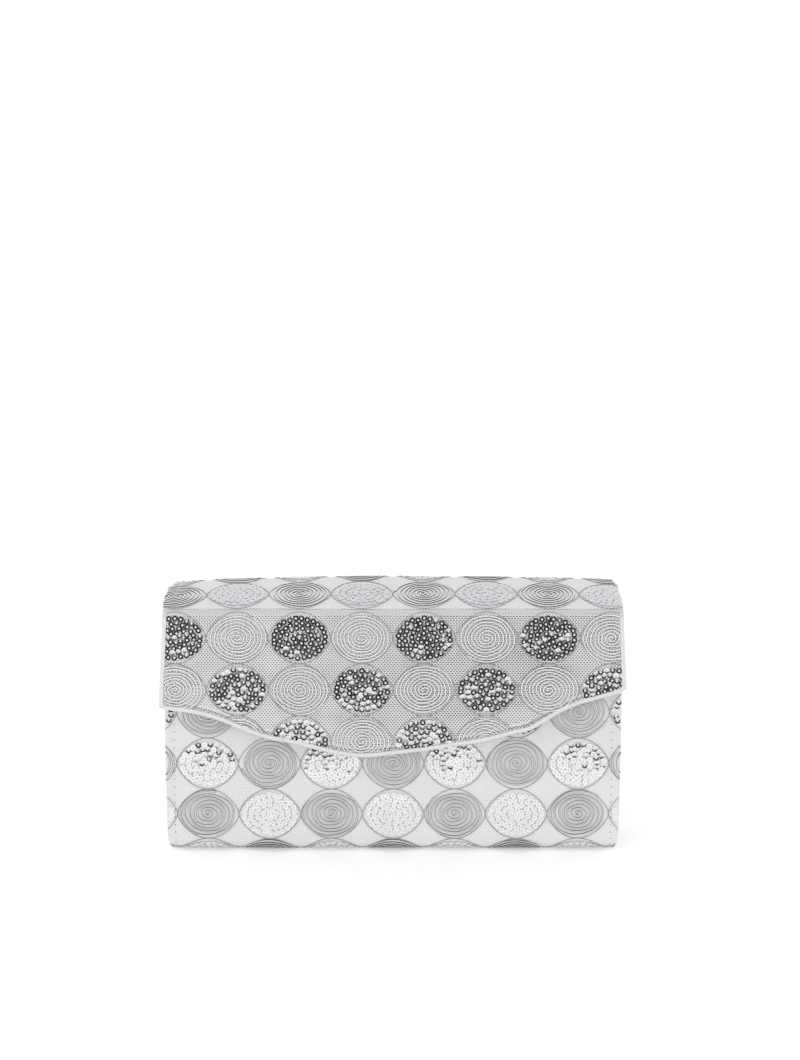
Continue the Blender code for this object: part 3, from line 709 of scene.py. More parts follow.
def front_half(s):
    """Half width of the front cloth."""
    return body_half(FRONT_LINE.at(s)[0][..., 1])


def wrap_half(s):
    """Half width of the wrapping cloth: the body's, narrower round the back fold, wider down the flap."""
    s = np.asarray(s, float)
    flare = (HALF_FLAP + FLAP_OVERHANG - HALF_BODY) * smoothstep(*FLARE, s)
    half = np.where(s < FOLD_TO, body_half(WRAP_LINE.at(s)[0][..., 1]), HALF_BODY + flare)
    return half - TOP_NARROWING * near(s - NARROWING_PLACE, NARROWING_REACH)


FRONT_CLOTH = Cloth(FRONT_LINE, front_half, front_swell)
WRAP_CLOTH = Cloth(WRAP_LINE, wrap_half, wrap_swell)


# ---------------------------------------------------------------- making pieces


def linked(name, mesh, finishes):
    """An object for a finished mesh."""
    for made in finishes:
        mesh.materials.append(made)
    mesh.shade_smooth()
    piece = bpy.data.objects.new(name, mesh)
    bpy.context.scene.collection.objects.link(piece)
    return piece


def mapped_grid(name, grid, shape, finishes):
    """A grid shaped by a function of two shares from 0 to 1, which gives places and the map's distances."""
    bm = bmesh.new()
    bmesh.ops.create_grid(bm, x_segments=grid[0], y_segments=grid[1], size=0.5)
    shares = np.array([v.co[:2] for v in bm.verts]) + 0.5
    places, across, along = shape(shares[:, 0], shares[:, 1])
    for vert, spot in zip(bm.verts, places):
        vert.co = spot
    layer = bm.loops.layers.uv.new("cloth")
    for face in bm.faces:
        for loop in face.loops:
            loop[layer].uv = (across[loop.vert.index], along[loop.vert.index])
    mesh = bpy.data.meshes.new(name)
    bm.to_mesh(mesh)
    bm.free()
    return linked(name, mesh, finishes)


def face_towards(piece, outward):
    """Turns a sheet's faces so that on the whole they point along outward."""
    mesh = piece.data
    facing = sum((face.normal * face.area for face in mesh.polygons), Vector())
    if facing.dot(Vector(outward)) < 0:
        mesh.flip_normals()
    return piece


def thicken(piece, thickness):
    """Gives a sheet its thickness, inwards."""
    modifier = piece.modifiers.new("thickness", "SOLIDIFY")
    modifier.thickness = thickness
    modifier.offset = -1
    return piece


def cloth_piece(name, cloth, start, end, grid, finishes, outward):
    """A stretch of cloth, with its side edges rolled over and turned in. Its end may be a function of x."""
    extra = EDGE_ROLL * (math.pi / 2 - 1) + EDGE_TURN

    def shape(a, b):
        last = end((a * 2 - 1) * (HALF_FLAP + extra)) if callable(end) else end
        s = start + (last - start) * b
        x = (a * 2 - 1) * (cloth.half(s) + extra)
        return cloth.place(x, s)[0], x, s

    piece = mapped_grid(name, grid, shape, finishes)
    face_towards(piece, outward)
    return thicken(piece, CLOTH)


def tubes(name, runs, radius, finishes, sides=1):
    """Round cord along each run of places."""
    data = bpy.data.curves.new(name, "CURVE")
    data.dimensions = "3D"
    data.bevel_depth = radius
    data.bevel_resolution = sides
    data.use_fill_caps = True
    for run in runs:
        spline = data.splines.new("POLY")
        spline.points.add(len(run) - 1)
        spline.points.foreach_set("co", np.c_[run, np.ones(len(run))].ravel())
    holder = bpy.data.objects.new(name + "_line", data)
    bpy.context.scene.collection.objects.link(holder)
    evaluated = holder.evaluated_get(bpy.context.evaluated_depsgraph_get())
    mesh = bpy.data.meshes.new_from_object(evaluated)
    bpy.data.objects.remove(holder)
    bm = bmesh.new()
    bm.from_mesh(mesh)
    bmesh.ops.remove_doubles(bm, verts=bm.verts, dist=1e-6)
    bm.to_mesh(mesh)
    bm.free()
    mesh.name = name
    return linked(name, mesh, finishes)


def stamped(name, pattern, spots, finishes):
    """One mesh with a copy of the pattern mesh at each spot, given as 4x4 matrices."""
    corners = np.array([v.co for v in pattern.vertices])
    faces = [np.array(p.vertices) for p in pattern.polygons]
    spots = np.array(spots)
    turned = np.einsum("nij,kj->nki", spots[:, :3, :3], corners) + spots[:, None, :3, 3]
    count = len(corners)
    polygons = [list(face + count * i) for i in range(len(spots)) for face in faces]
    mesh = bpy.data.meshes.new(name)
    mesh.from_pydata(turned.reshape(-1, 3).tolist(), [], polygons)
    kinds = [p.material_index for p in pattern.polygons] * len(spots)
    mesh.polygons.foreach_set("material_index", kinds)
    return linked(name, mesh, finishes)


# ---------------------------------------------------------------- embroidery


def sequin_shape():
    """Nearly flat ring of film, and the knot of thread in its hole that holds it."""
    bm = bmesh.new()
    profile = [(SEQUIN_HOLE, 0.0), (SEQUIN, SEQUIN_DISH)]
    line = [bm.verts.new((r, 0, z)) for r, z in profile]
    edges = [bm.edges.new(pair) for pair in zip(line, line[1:])]
    bmesh.ops.spin(
        bm,
        geom=line + edges,
        axis=(0, 0, 1),
        cent=(0, 0, 0),
        angle=math.tau,
        steps=12,
        use_merge=True,
    )
    film = len(bm.faces)
    knot_place = Matrix.Translation((0, 0, SEQUIN_KNOT_HEIGHT))
    bmesh.ops.create_circle(bm, cap_ends=True, radius=SEQUIN_KNOT, segments=6, matrix=knot_place)
    for face in bm.faces:
        if face.normal.z < 0:
            face.normal_flip()
    bm.faces.ensure_lookup_table()
    for face in bm.faces[film:]:
        face.material_index = 1
    mesh = bpy.data.meshes.new("sequin")
    bm.to_mesh(mesh)
    bm.free()
    return mesh


def sequin_layout(rng):
    """Rings of sequins that fill an oval, as offsets from its centre."""
    spots = [(0.0, 0.0)]
    outer = DISC_HEIGHT / 2 - SEQUIN
    stretch = (DISC_WIDTH / 2 - SEQUIN) / outer
    rings = int(outer / SEQUIN_RING + 0.35)
    for ring in range(1, rings + 1):
        radius = outer * ring / rings
        count = round(math.tau * radius * (1 + stretch) / 2 / SEQUIN_SPACING)
        turn = rng.uniform(0, math.tau)
        for i in range(count):
            angle = turn + math.tau * i / count
            off_x, off_y = rng.gauss(0, SEQUIN_STRAY), rng.gauss(0, SEQUIN_STRAY)
            spots.append((radius * stretch * math.cos(angle) + off_x, radius * math.sin(angle) + off_y))
    return spots


def spiral(rng, pitch):
    """Cord laid in a flat oval spiral, as offsets from its centre."""
    outer = MOTIF_HEIGHT / 2 - CORD - CORD_MARGIN
    turns = outer / pitch
    stretch = MOTIF_WIDTH / MOTIF_HEIGHT
    start, phase, lean = rng.uniform(0, math.tau), rng.uniform(0, math.tau), rng.choice((-1, 1))
    spots = []
    angle = SPIRAL_START
    while angle < turns * math.tau:
        radius = pitch * angle / math.tau
        shaky = radius + WIDE_SHAKE * math.sin(angle * 2.3 + phase)
        shaky += FINE_SHAKE * math.sin(angle * 5.1 + phase * 2)
        heads = start + lean * angle
        spots.append((stretch * shaky * math.cos(heads), shaky * math.sin(heads)))
        angle += min(SPIRAL_TURN, SPIRAL_STEP / max(radius, 0.0008))
    return spots


def motifs(rows, first, shifted):
    """Centres of the motifs on a cloth and whether each is a spiral: a chequer of spirals and discs."""
    columns = range(-4, 4) if shifted else range(-4, 5)
    for row in rows:
        for column in columns:
            x = (column + 0.5) * COLUMN if shifted else column * COLUMN
            yield x, first + row * ROW, (row + column) % 2 == 0


def row_threads(s, shifted, allowed):
    """The two threads of a row, which bow round each motif and cross between motifs."""
    runs = []
    phase = 0.5 if shifted else 0.0
    steps = np.linspace(-HALF_FLAP - EDGE_ROLL, HALF_FLAP + EDGE_ROLL, 420)
    turn = steps / COLUMN - phase
    wave = np.cos(np.pi * turn)
    bow = np.sign(wave) * np.abs(wave) ** THREAD_BOW * (MOTIF_HEIGHT / 2 + 0.0001)
    for way in (-1, 1):
        runs += cut(steps, s + way * bow, allowed)
    return runs


def cut(x, s, allowed):
    """The stretches of a line on the cloth that lie where they are allowed."""
    runs, current = [], []
    for a, b, fine in zip(x, s, allowed(np.asarray(x), np.asarray(s))):
        if fine:
            current.append((a, b))
        else:
            if len(current) > 3:
                runs.append(np.array(current))
            current = []
    if len(current) > 3:
        runs.append(np.array(current))
    return runs


def embroider(name, cloth, rows, first, shifted, allowed, cord, looks, rng):
    """All the embroidery of one piece of cloth: gives the sequins, the cord spirals and the threads."""
    cord_pitch, cord_look = cord
    sequins, cords, threads = [], [], []
    for x0, s0, is_spiral in motifs(rows, first, shifted):
        if is_spiral:
            line = np.array(spiral(rng, cord_pitch)) + (x0, s0)
            for run in cut(line[:, 0], line[:, 1], allowed):
                cords.append(cloth.place(run[:, 0], run[:, 1], CORD * CORD_REST))
        else:
            spots = np.array(sequin_layout(rng)) + (x0, s0)
            inside = np.abs(spots[:, 0]) < cloth.half(spots[:, 1]) - SEQUIN
            for x, s in spots[allowed(spots[:, 0], spots[:, 1]) & inside]:
                sequins.append(sequin_place(cloth, x, s, math.atan2(s - s0, x - x0), rng))
    for row in rows:
        for run in row_threads(first + row * ROW, shifted, allowed):
            threads.append(cloth.place(run[:, 0], run[:, 1], THREAD)[0])
    discs = stamped(name + "_sequins", sequin_shape(), sequins, [looks["sequin"], looks["white_thread"]])
    spirals = tubes(name + "_spirals", [spots for spots, _ in cords], CORD, [looks[cord_look]])
    crowned(spirals, cords)
    links = tubes(name + "_threads", threads, THREAD, [looks["thread"]], sides=0)
    return [discs, spirals, links]


def crowned(piece, lines):
    """Marks how far each point of a cord faces away from the cloth under it, for the painted shade down the
    cord's sides.
    """
    spots = np.concatenate([line[0] for line in lines])
    normals = np.concatenate([line[1] for line in lines])
    tree = KDTree(len(spots))
    for i, spot in enumerate(spots):
        tree.insert(spot, i)
    tree.balance()
    crown = []
    for vert in piece.data.vertices:
        spot, i, _ = tree.find(vert.co)
        crown.append(max(0.0, (vert.co - spot).dot(Vector(normals[i])) / CORD))
    attribute = piece.data.attributes.new("crown", "FLOAT", "POINT")
    attribute.data.foreach_set("value", crown)


def sequin_place(cloth, x, s, angle, rng):
    """Matrix of one sequin, lying on its neighbour in the ring and a little askew."""
    spot, normal = cloth.place(x, s, SEQUIN_LIFT + rng.uniform(0, SEQUIN_LIFT_SPREAD))
    up = Vector(normal)
    across = Vector((1, 0, 0)) if abs(up.x) < 0.9 else Vector((0, 0, 1))
    along = up.cross(across).normalized()
    across = along.cross(up)
    flat = Matrix((across, along, up)).transposed()
    tilt_x = Matrix.Rotation(rng.gauss(0, SEQUIN_TILT), 3, "X")
    tilt_y = Matrix.Rotation(rng.gauss(0, SEQUIN_TILT), 3, "Y")
    spin = Matrix.Rotation(angle, 3, "Z")
    return np.array(Matrix.Translation(Vector(spot)) @ (flat @ (tilt_x @ tilt_y) @ spin).to_4x4())


# ---------------------------------------------------------------- flap


def flap_outline():
    """The flap's free edge from the left end of the crease to the right, with its inward directions."""
    corner, top = FLAP_CORNER, 0.0022
    left_low, right_low = float(flap_edge(-HALF_FLAP)), float(flap_edge(HALF_FLAP))
    left_x, right_x = -float(wrap_half(left_low)), float(wrap_half(right_low))
    left_side = [(-float(wrap_half(d)), d) for d in np.linspace(top, left_low - corner, 30)]
    right_side = [(float(wrap_half(d)), d) for d in np.linspace(right_low - corner, top, 30)]
    xs = np.linspace(left_x + corner, right_x - corner, 160)
    edge = list(zip(xs, flap_edge(xs)))

    def rounded(*ends):
        start, tip, end = map(np.array, ends)
        shares = np.linspace(0, 1, 9)[1:-1]
        return [start * (1 - t) ** 2 + 2 * t * (1 - t) * tip + t * t * end for t in shares]

    line = np.array(
        left_side
        + rounded(left_side[-1], (left_x, left_low), edge[0])
        + edge
        + rounded(edge[-1], (right_x, right_low), right_side[0])
        + right_side
    )
    slope = np.gradient(line, axis=0)
    slope /= np.linalg.norm(slope, axis=1)[:, None]
    inward = np.stack([slope[:, 1], -slope[:, 0]], axis=1)
    return line, inward


def flap_plane(x, s, above):
    """Places on the flap's flat face, without swelling."""
    spot, normal = WRAP_LINE.at(s)
    lifted = spot + normal * above[:, None]
    return np.stack([x, lifted[:, 0], lifted[:, 1]], -1)


def edge_band(finishes):
    """Band that is folded round the flap's free edge, drawn by its section: distance in, and height."""
    line, inward = flap_outline()
    section = [
        (BAND, 0.0003),
        (BAND * 0.85, 0.0008),
        (BAND * 0.45, 0.0009),
        (0.0003, 0.0001),
        (-0.0001, -0.0012),
        (-0.0001, -FLAP_STACK + 0.0012),
        (0.0003, -FLAP_STACK + 0.0001),
        (BAND * 0.45, -FLAP_STACK - 0.0006),
        (BAND, -FLAP_STACK - 0.0004),
    ]
    section = np.array(section)
    run = np.linspace(0, 1, len(section))
    across = np.linalg.norm(np.diff(section, axis=0), axis=1).sum()
    along = np.concatenate([[0], np.cumsum(np.linalg.norm(np.diff(line, axis=0), axis=1))])

    def shape(a, b):
        i = np.clip((a * (len(line) - 1)).round().astype(int), 0, len(line) - 1)
        inset = np.interp(b, run, section[:, 0])
        above = np.interp(b, run, section[:, 1])
        spots = line[i] + inward[i] * inset[:, None]
        places = flap_plane(spots[:, 0], spots[:, 1], above)
        return places, along[i], b * across

    piece = mapped_grid("flap_edge_band", (len(line) - 1, 16), shape, finishes)
    face_towards(piece, (0, 0, -1))
    return thicken(piece, SATIN)


def stitches(name, line, finishes, pitch, length, radius):
    """Short stitches along a line of places on a surface, each sinking in at its ends."""
    spots, normals = line
    run = np.concatenate([[0], np.cumsum(np.linalg.norm(np.diff(spots, axis=0), axis=1))])
    runs = []
    for start in np.arange(pitch / 2, run[-1] - length, pitch):
        reach = start + np.array([0, 0.25, 0.75, 1]) * length
        lift = np.array([-0.4, 1.0, 1.0, -0.4]) * radius
        place = np.stack([np.interp(reach, run, spots[:, i]) for i in range(3)], 1)
        out = np.stack([np.interp(reach, run, normals[:, i]) for i in range(3)], 1)
        runs.append(place + out * lift[:, None])
    return tubes(name, runs, radius, finishes, sides=0)


# ---------------------------------------------------------------- inside

FRONT_LINING = 0.0067  # from a cover's outer face to the lining's, through foam and board
BACK_LINING = 0.0051
BASE_LINING = 0.0041
FLAP_LINING = FLAP_STACK
LINING_BELOW_RIM = 0.0038
LINING_IN_BAND = 0.8  # how far the flap's lining goes into the edge band, as a share of the band
FOLD_EASE = (0.0018, 0.0050)  # beyond a fold, where the lining climbs on to the board
CREASE_EASE = (0.0034, 0.0062)
MARGIN = 0.0017
POCKET_HALF = 0.070
POCKET_LOW, POCKET_HIGH = 0.0297, 0.0915
POCKET_STAND = 0.0011
POCKET_GAPE = 0.0003
POCKET_UNEVENNESS = 0.00012
POCKET_BINDING = 0.006
BINDING_SATIN = 0.0003
SEWN_STAND = 0.0003  # of a patch from the lining along its seam
ON_COVER = 0.0017  # depth of the lining where it lies on the cover alone
ON_FLANGE = 0.0024
BOARD_EDGE = 0.1075
LINING_HALF = 0.1093
GUSSET_FLANGE = 0.0017
FRONT_SPRING, BACK_SPRING = 0.0078, 0.0066  # depths at which the gusset leaves the front and the back
GUSSET_LOW, GUSSET_HIGH = 0.0012, 0.1053
GUSSET_WALL = HALF_BODY - 0.0053
GUSSET_INSET = 0.0010
GUSSET_WIDTH = 0.056
PLEAT_GAP = 0.0006
PLEAT_SLACK = 0.0004
PLEAT = (  # height, and distance out from the middle of the bag
    (0.0010, 0.1096),
    (0.0046, 0.1090),
    (0.0080, 0.1000),
    (0.0100, 0.0998),
    (0.0200, 0.1020),
    (0.0400, 0.1001),
    (0.0600, 0.0977),
    (0.0800, 0.0957),
    (0.1055, 0.0937),
)
GUSSET_KNOTS = np.array([0, 0.06, 0.16, 0.47, 0.53, 0.84, 0.94, 1.0])  # its corners, as shares of its width
GUSSET_ROUNDING = 0.025
GUSSET_TOP = WRAP_LINE.nearest(BACK_FOLD + [BACK_RADIUS + 0.001, GUSSET_HIGH - BACK_FOLD[1]])


def across_fold(s, start, end, ease):
    """1 across a fold, easing off beyond both of its ends."""
    short, long = ease
    return between(s, (start - long, start - short), (end + short, end + long))


def wrap_depth(x, s):
    """How far the lining lies inside the wrapping cover: over board and foam, or on the cover at folds."""
    over_board = BASE_LINING + (BACK_LINING - BASE_LINING) * smoothstep(REAR_ARC_TO - 0.012, REAR_ARC_TO, s)
    over_board += (FLAP_LINING - BACK_LINING) * smoothstep(-0.004, 0.004, s)
    at_fold = across_fold(s, FOLD_FROM, FOLD_TO, FOLD_EASE)
    at_crease = across_fold(s, 0, 0, CREASE_EASE)
    depth = over_board + (ON_COVER - over_board) * np.maximum(at_fold, at_crease)
    margin = smoothstep(BOARD_EDGE, BOARD_EDGE + MARGIN, np.abs(x)) * (1 - smoothstep(0.001, 0.006, s))
    rest = np.where(s < GUSSET_TOP, ON_FLANGE, ON_COVER)
    return depth + (np.minimum(rest, depth) - depth) * margin


def front_depth(x, s):
    """The same for the front cover: over board and foam, and on the gussets' flanges at the sides."""
    into_base = smoothstep(FRONT_ARC_FROM - 0.004, FRONT_ARC_TO, s)
    over_board = FRONT_LINING + (BASE_LINING - FRONT_LINING) * into_base
    margin = smoothstep(BOARD_EDGE, BOARD_EDGE + MARGIN, np.abs(x))
    return over_board + (ON_FLANGE - over_board) * margin


def front_lining_half(s):
    """Half width of the front lining, which stays between the gussets."""
    return LINING_HALF + s * 0


def wrap_lining_half(s):
    """Half width of the back and top lining: between the gussets, then out to the cover's edges."""
    above_gussets = smoothstep(GUSSET_TOP - 0.001, GUSSET_TOP + 0.004, s)
    return LINING_HALF + (HALF_BODY - EDGE_ROLL - LINING_HALF) * above_gussets


def flap_lining_half(s):
    """Half width of the flap's lining, which goes into the edge band."""
    return wrap_half(s) - BAND * LINING_IN_BAND


def lining_piece(name, cloth, half, depth, low, high, rows, finishes, inward):
    """A sheet of lining inside a cover, slightly uneven. Its far end may be a function of x."""

    def shape(a, b):
        last = high((a * 2 - 1) * HALF_BODY) if callable(high) else high
        s = low + (last - low) * b
        x = (a * 2 - 1) * half(s)
        spot, normal = cloth.line.at(s)
        lift = depth(x, s) + LINING_SLACK * (0.6 + ripple(x * 1.3, s * 1.3, len(name)))
        y = spot[:, 0] - normal[:, 0] * lift
        z = spot[:, 1] - normal[:, 1] * lift
        z = z - droop(x, spot[:, 0], spot[:, 1])
        return np.stack([x, y, z], -1), x, s

    piece = mapped_grid(name, (120, rows), shape, finishes)
    face_towards(piece, inward)
    return thicken(piece, SATIN)


def side_at(height, line, start, end):
    """Depth of a line in side view at a height, and how far its normal there points out."""
    places, normals = line.at(np.linspace(start, end, 400))
    order = np.argsort(places[:, 1])
    return [np.interp(height, places[order, 1], values[order, 0]) for values in (places, normals)]


def gusset(name, side, finishes):
    """Side gusset: a flange under each cover and a pleat that folds inwards between them."""
    rim_end = FRONT_LINE.nearest(RIM) + 0.004
    back_low = WRAP_LINE.nearest(REAR_FOLD - [0, BASE_RADIUS])
    back_high = WRAP_LINE.nearest(BACK_FOLD + [BACK_RADIUS, 0])

    def shape(a, b):
        z = GUSSET_LOW + (GUSSET_HIGH - GUSSET_LOW) * b
        front_y, front_out = side_at(z, FRONT_LINE, rim_end, FRONT_ARC_TO)
        back_y, back_out = side_at(z, WRAP_LINE, back_low, back_high)
        front_out = np.clip(front_out, -1, -0.35)
        back_out = np.clip(back_out, 0.35, 1)
        flange_front = front_y - GUSSET_FLANGE / front_out
        flange_back = back_y - GUSSET_FLANGE / back_out
        tight = smoothstep(0.004, 0.016, z)
        spring_front = flange_front + (front_y - FRONT_SPRING / front_out - flange_front) * tight
        spring_back = flange_back + (back_y - BACK_SPRING / back_out - flange_back) * tight
        pleat_x = np.interp(z, *zip(*PLEAT))
        pleat_y = (spring_front + spring_back) / 2
        wall = np.full(len(z), GUSSET_WALL)
        outer = body_half(z) - GUSSET_INSET
        half_section = (outer, wall, wall, pleat_x)
        xs = np.stack([*half_section, *half_section[::-1]])
        front_section = (flange_front, flange_front, spring_front, pleat_y - PLEAT_GAP)
        back_section = (pleat_y + PLEAT_GAP, spring_back, flange_back, flange_back)
        ys = np.stack([*front_section, *back_section])
        x, y = rounded_section(a, xs, ys)
        slack = np.sin(np.pi * np.clip((a - 0.12) / 0.76, 0, 1))
        x = x + PLEAT_SLACK * slack * np.sin(z * 190 + a * 9) * np.sin(z * 70 + side)
        return np.stack([side * x, y, z], -1), a * GUSSET_WIDTH, z

    piece = mapped_grid(name, (64, 60), shape, finishes)
    face_towards(piece, (side, 0, 0))
    piece = thicken(piece, SATIN)
    piece.modifiers[0].offset = 0
    return piece


def rounded_section(a, xs, ys):
    """Places at shares of the gusset's width between its corners, which averaging rounds."""
    x, y = np.zeros(len(a)), np.zeros(len(a))
    column = np.arange(len(a))
    shifts = np.linspace(-GUSSET_ROUNDING, GUSSET_ROUNDING, 7)
    for shift in shifts:
        where = np.clip(a + shift, 0, 1)
        i = np.clip(np.searchsorted(GUSSET_KNOTS, where, side="right") - 1, 0, len(GUSSET_KNOTS) - 2)
        t = (where - GUSSET_KNOTS[i]) / (GUSSET_KNOTS[i + 1] - GUSSET_KNOTS[i])
        x += (xs[i, column] * (1 - t) + xs[i + 1, column] * t) / len(shifts)
        y += (ys[i, column] * (1 - t) + ys[i + 1, column] * t) / len(shifts)
    return x, y


def slip_pocket(finishes):
    """Patch pocket on the back lining, sewn down at its sides and bottom."""

    def shape(a, b):
        x = (a * 2 - 1) * POCKET_HALF
        z = POCKET_LOW + (POCKET_HIGH - POCKET_LOW) * b
        edge = np.minimum(POCKET_HALF - np.abs(x), z - POCKET_LOW)
        stand = SEWN_STAND + (POCKET_STAND - SEWN_STAND) * smoothstep(0, 0.006, edge)
        y = pocket_y(x, z, stand, b)
        return np.stack([x, y, z], -1), x, z

    piece = mapped_grid("slip_pocket_satin", (80, 40), shape, finishes)
    face_towards(piece, (0, -1, 0))
    return thicken(piece, SATIN)


def lining_y(z):
    """Depth of the back lining's face at a height."""
    runs = np.linspace(REAR_ARC_TO, FOLD_FROM - 0.006, 200)
    places, normals = WRAP_LINE.at(runs)
    face = places - normals * (BACK_LINING + 0.0004)
    return np.interp(z, face[:, 1], face[:, 0])


def pocket_y(x, z, stand, up):
    """Depth of the pocket's face, which stands off the lining and gapes a little towards its mouth."""
    gape = POCKET_GAPE * up * np.cos(np.pi * x / (2 * POCKET_HALF))
    return lining_y(z) - stand - gape + POCKET_UNEVENNESS * ripple(x, z, 9)


def pocket_edge(finishes):
    """Binding folded over the pocket's mouth, drawn by its section: distance up, and out from the pocket."""
    section = np.array(
        [
            (-POCKET_BINDING, 0.0004),
            (-POCKET_BINDING * 0.5, 0.0006),
            (-0.0004, 0.0005),
            (0.0002, 0.0),
            (-0.0004, -0.0004),
            (-POCKET_BINDING, -0.0005),
        ]
    )
    run = np.linspace(0, 1, len(section))
    across = np.linalg.norm(np.diff(section, axis=0), axis=1).sum()

    def shape(a, b):
        x = (a * 2 - 1) * (POCKET_HALF - 0.0002)
        down = np.interp(b, run, section[:, 0])
        out = np.interp(b, run, section[:, 1])
        z = POCKET_HIGH + 0.0002 + down
        y = pocket_y(x, z, POCKET_STAND + 0.0002, 1) - out
        return np.stack([x, y, z], -1), x, b * across

    piece = mapped_grid("pocket_mouth_binding", (80, 20), shape, finishes)
    face_towards(piece, (0, -1, 0))
    return thicken(piece, BINDING_SATIN)


def inside(looks):
    """Linings, gussets and pocket."""
    satin_look = [looks["lining"]]
    below_rim = FRONT_LINE.nearest(on_front(RIM[1] - LINING_BELOW_RIM))
    front = lining_piece(
        "front_lining_satin",
        FRONT_CLOTH,
        front_lining_half,
        front_depth,
        below_rim,
        FRONT_LINE.high,
        90,
        satin_look,
        (0, 1, 0),
    )
    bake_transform(front)
    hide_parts("front_lining", "base_lining")
    back = lining_piece(
        "back_lining_satin",
        WRAP_CLOTH,
        wrap_lining_half,
        wrap_depth,
        WRAP_LINE.low,
        SEAM,
        180,
        satin_look,
        (0, -1, 0),
    )
    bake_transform(back)
    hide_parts("back_lining", "spine_lining")
    flap = lining_piece(
        "flap_lining_satin",
        WRAP_CLOTH,
        flap_lining_half,
        wrap_depth,
        SEAM,
        lambda x: flap_edge(x) - BAND * LINING_IN_BAND,
        90,
        satin_look,
        (0, 1, 0),
    )
    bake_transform(flap)
    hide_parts("flap_lining")
    pocket = slip_pocket(satin_look)
    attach(pocket, "body")
    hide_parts("slip_pocket")
    binding = pocket_edge([looks["satin"]])
    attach(binding, "body")
    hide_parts("pocket_binding")
    for name, side in (("gusset_left", -1), ("gusset_right", 1)):
        made = gusset(name + "_satin", side, [looks["satin"]])
        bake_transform(made)
        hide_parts(name)
    for piece, slot, under in (
        (front, "lining_satin", "front_board"),
        (back, "lining_satin", "back_cloth"),
        (flap, "lining_satin", "flap_cloth"),
        (pocket, "lining_satin", "back_lining_satin"),
        (binding, "silver_satin", "slip_pocket_satin"),
    ):
        "stretched" if piece in (front, back, flap) else "laid"


# ---------------------------------------------------------------- build


def studio():
    """Camera, white floor and sky, a lamp, and a dark card that only the shiny pieces see."""
    add_camera()
    stage_plane("floor", FLOOR_SIZE, Matrix.Identity(4), white_floor())
    upright = Matrix.Rotation(math.radians(90), 4, "X") @ Matrix.Diagonal((CARD_WIDTH, CARD_HEIGHT, 1, 1))
    card = stage_plane("dark_card", 1.0, Matrix.Translation(CARD_PLACE) @ upright, black_card())
    card.visible_camera = False
    card.visible_diffuse = False
    card.visible_shadow = False
    add_sky()
    bpy.context.scene.view_settings.view_transform = "Standard"
    soft_light("top_light", LAMP_PLACE, LAMP_TARGET, LAMP_SIZE, LAMP_WATTS)


def finishes_by_name():
    """Every finish of the bag."""
    return {
        "mesh": mesh_over_foil("mesh_stretched", 0.00056, 0.07),
        "close_mesh": mesh_over_foil("mesh_relaxed", 0.00022, 0.4),
        "white_thread": white_thread(),
        "dark_thread": fibrous("grey_thread", (0.07, 0.07, 0.07), (0.2, 0.2, 0.2), 1500.0, 0.7),
        "sequin": sequin_film(),
        "cord": metal_cord("metal_cord", 0.40, 0.76),
        # painted shade: a copy of the cord with a wider dark band down its sides, for the front
        "tarnished_cord": metal_cord("tarnished_cord", 0.58, 0.96),
        "thread": sewing_thread(),
        "satin": satin("silver_satin", (0.60, 0.61, 0.63), (0.84, 0.85, 0.86)),
        "lining": satin("lining_satin", (0.50, 0.51, 0.53), (0.72, 0.73, 0.75)),
        "snap": nickel(),
        "board": fibrous("grey_board", (0.40, 0.38, 0.35), (0.62, 0.60, 0.56), 400.0, 0.85),
        "foam": fibrous("white_foam", (0.74, 0.74, 0.72), (0.90, 0.90, 0.88), 900.0, 0.95),
    }


def to_front(piece):
    """Bakes the transform of a piece of the front into its mesh."""
    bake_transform(piece)


def to_back(piece):
    """Bakes the transform of a piece of the back and the top into its mesh."""
    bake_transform(piece)


def to_flap(piece):
    """Bakes the transform of a piece of the flap into its mesh."""
    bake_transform(piece)


def on_front_cloth(x, s):
    """Where the front has embroidery."""
    return (np.abs(x) < front_half(s)) & (s > FRONT_LINE.low + 0.004) & (s < FRONT_LINE.high)


def on_back_cloth(x, s):
    """Where the back and the top have embroidery."""
    return (np.abs(x) < wrap_half(s)) & (s > WRAP_LINE.low) & (s <= SEAM)


def on_flap_cloth(x, s):
    """Where the flap has embroidery: up to its edge band."""
    inside = (s < flap_edge(x) - BAND * 0.9) & (np.abs(x) < wrap_half(s) - BAND * 0.7)
    return inside & (s > SEAM)


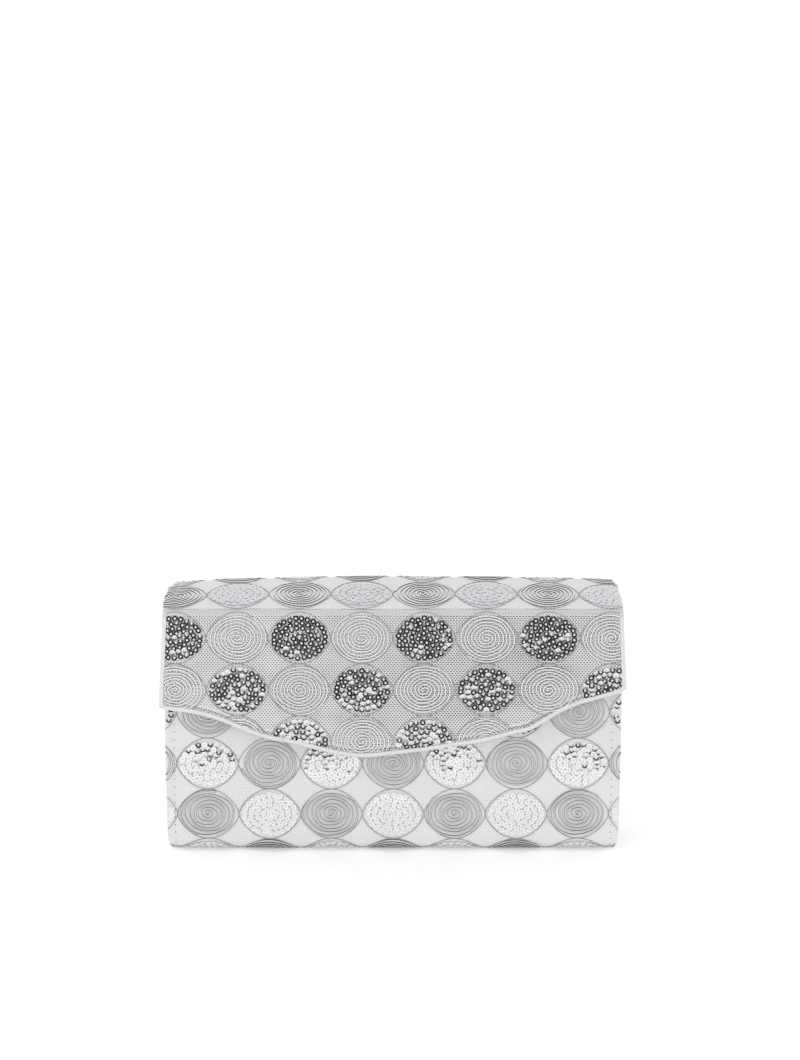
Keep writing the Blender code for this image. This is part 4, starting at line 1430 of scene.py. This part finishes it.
def outside(looks):
    """The three pieces of cloth, their embroidery, and the flap's edge band with its stitches."""
    close_mesh = [looks["close_mesh"]]
    front = cloth_piece(
        "front_cloth", FRONT_CLOTH, FRONT_LINE.low, FRONT_LINE.high, (150, 130), close_mesh, (0, -1, 0)
    )
    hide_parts("front_cover")
    back = cloth_piece("back_cloth", WRAP_CLOTH, WRAP_LINE.low, SEAM, (150, 180), close_mesh, (0, 1, 0))
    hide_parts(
        "base_cover",
        "back_cover",
        "back_foam",
        "back_board",
        "spine_cover",
        "spine_foam",
        "spine_board",
    )
    flap = cloth_piece(
        "flap_cloth",
        WRAP_CLOTH,
        SEAM,
        lambda x: flap_edge(x) - BAND * 0.5,
        (170, 90),
        [looks["mesh"]],
        (0, -1, 0),
    )
    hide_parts("flap_cover", "flap_foam", "flap_board")

    rng = random.Random(7)
    front_row = FRONT_LINE.nearest([BELLY_Y + 0.001, FRONT_ROW_HEIGHT])
    flap_row = FLAP_ROW_FROM_CREASE - ROW
    # the front's cords carry more painted shade down their sides
    front_cord = (BODY_CORD_PITCH, "tarnished_cord")
    back_cord = (BODY_CORD_PITCH, "cord")
    flap_cord = (FLAP_CORD_PITCH, "cord")
    plans = {
        "front": (FRONT_CLOTH, range(-4, 3), front_row, False, on_front_cloth, front_cord),
        "back": (WRAP_CLOTH, range(-8, 1), TOP_ROW_FROM_CREASE, True, on_back_cloth, back_cord),
        "flap": (WRAP_CLOTH, range(1, 4), flap_row, True, on_flap_cloth, flap_cord),
    }
    trimmings = {name: embroider(name, *plan, looks, rng) for name, plan in plans.items()}
    for name, join in (("front", to_front), ("back", to_back), ("flap", to_flap)):
        for piece in trimmings[name]:
            join(piece)
    band = edge_band(close_mesh)
    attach(band, "flap")
    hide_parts("flap_edge_binding")
    xs = np.linspace(-HALF_FLAP + FLAP_CORNER, HALF_FLAP - FLAP_CORNER, 500)
    hem_line = WRAP_CLOTH.place(xs, flap_edge(xs) - BAND_STITCH)
    hem = stitches("hem_stitches", hem_line, [looks["dark_thread"]], HEM_PITCH, HEM_STITCH, HEM_THREAD)
    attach(hem, "flap")
    trimmings["flap"].append(hem)
    to_front(front)
    to_back(back)
    to_flap(flap)


def plain_pieces(looks):
    """The frame's own pieces that nothing replaces: boards, foams and the snap."""
    for name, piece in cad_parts.items():
        kind = next((kind for kind in ("board", "foam", "snap") if kind in name), "lining")
        piece.data.materials.clear()
        piece.data.materials.append(looks[kind])


def main():
    """Builds the studio and the bag."""
    studio()
    looks = finishes_by_name()
    outside(looks)
    inside(looks)
    plain_pieces(looks)


main()
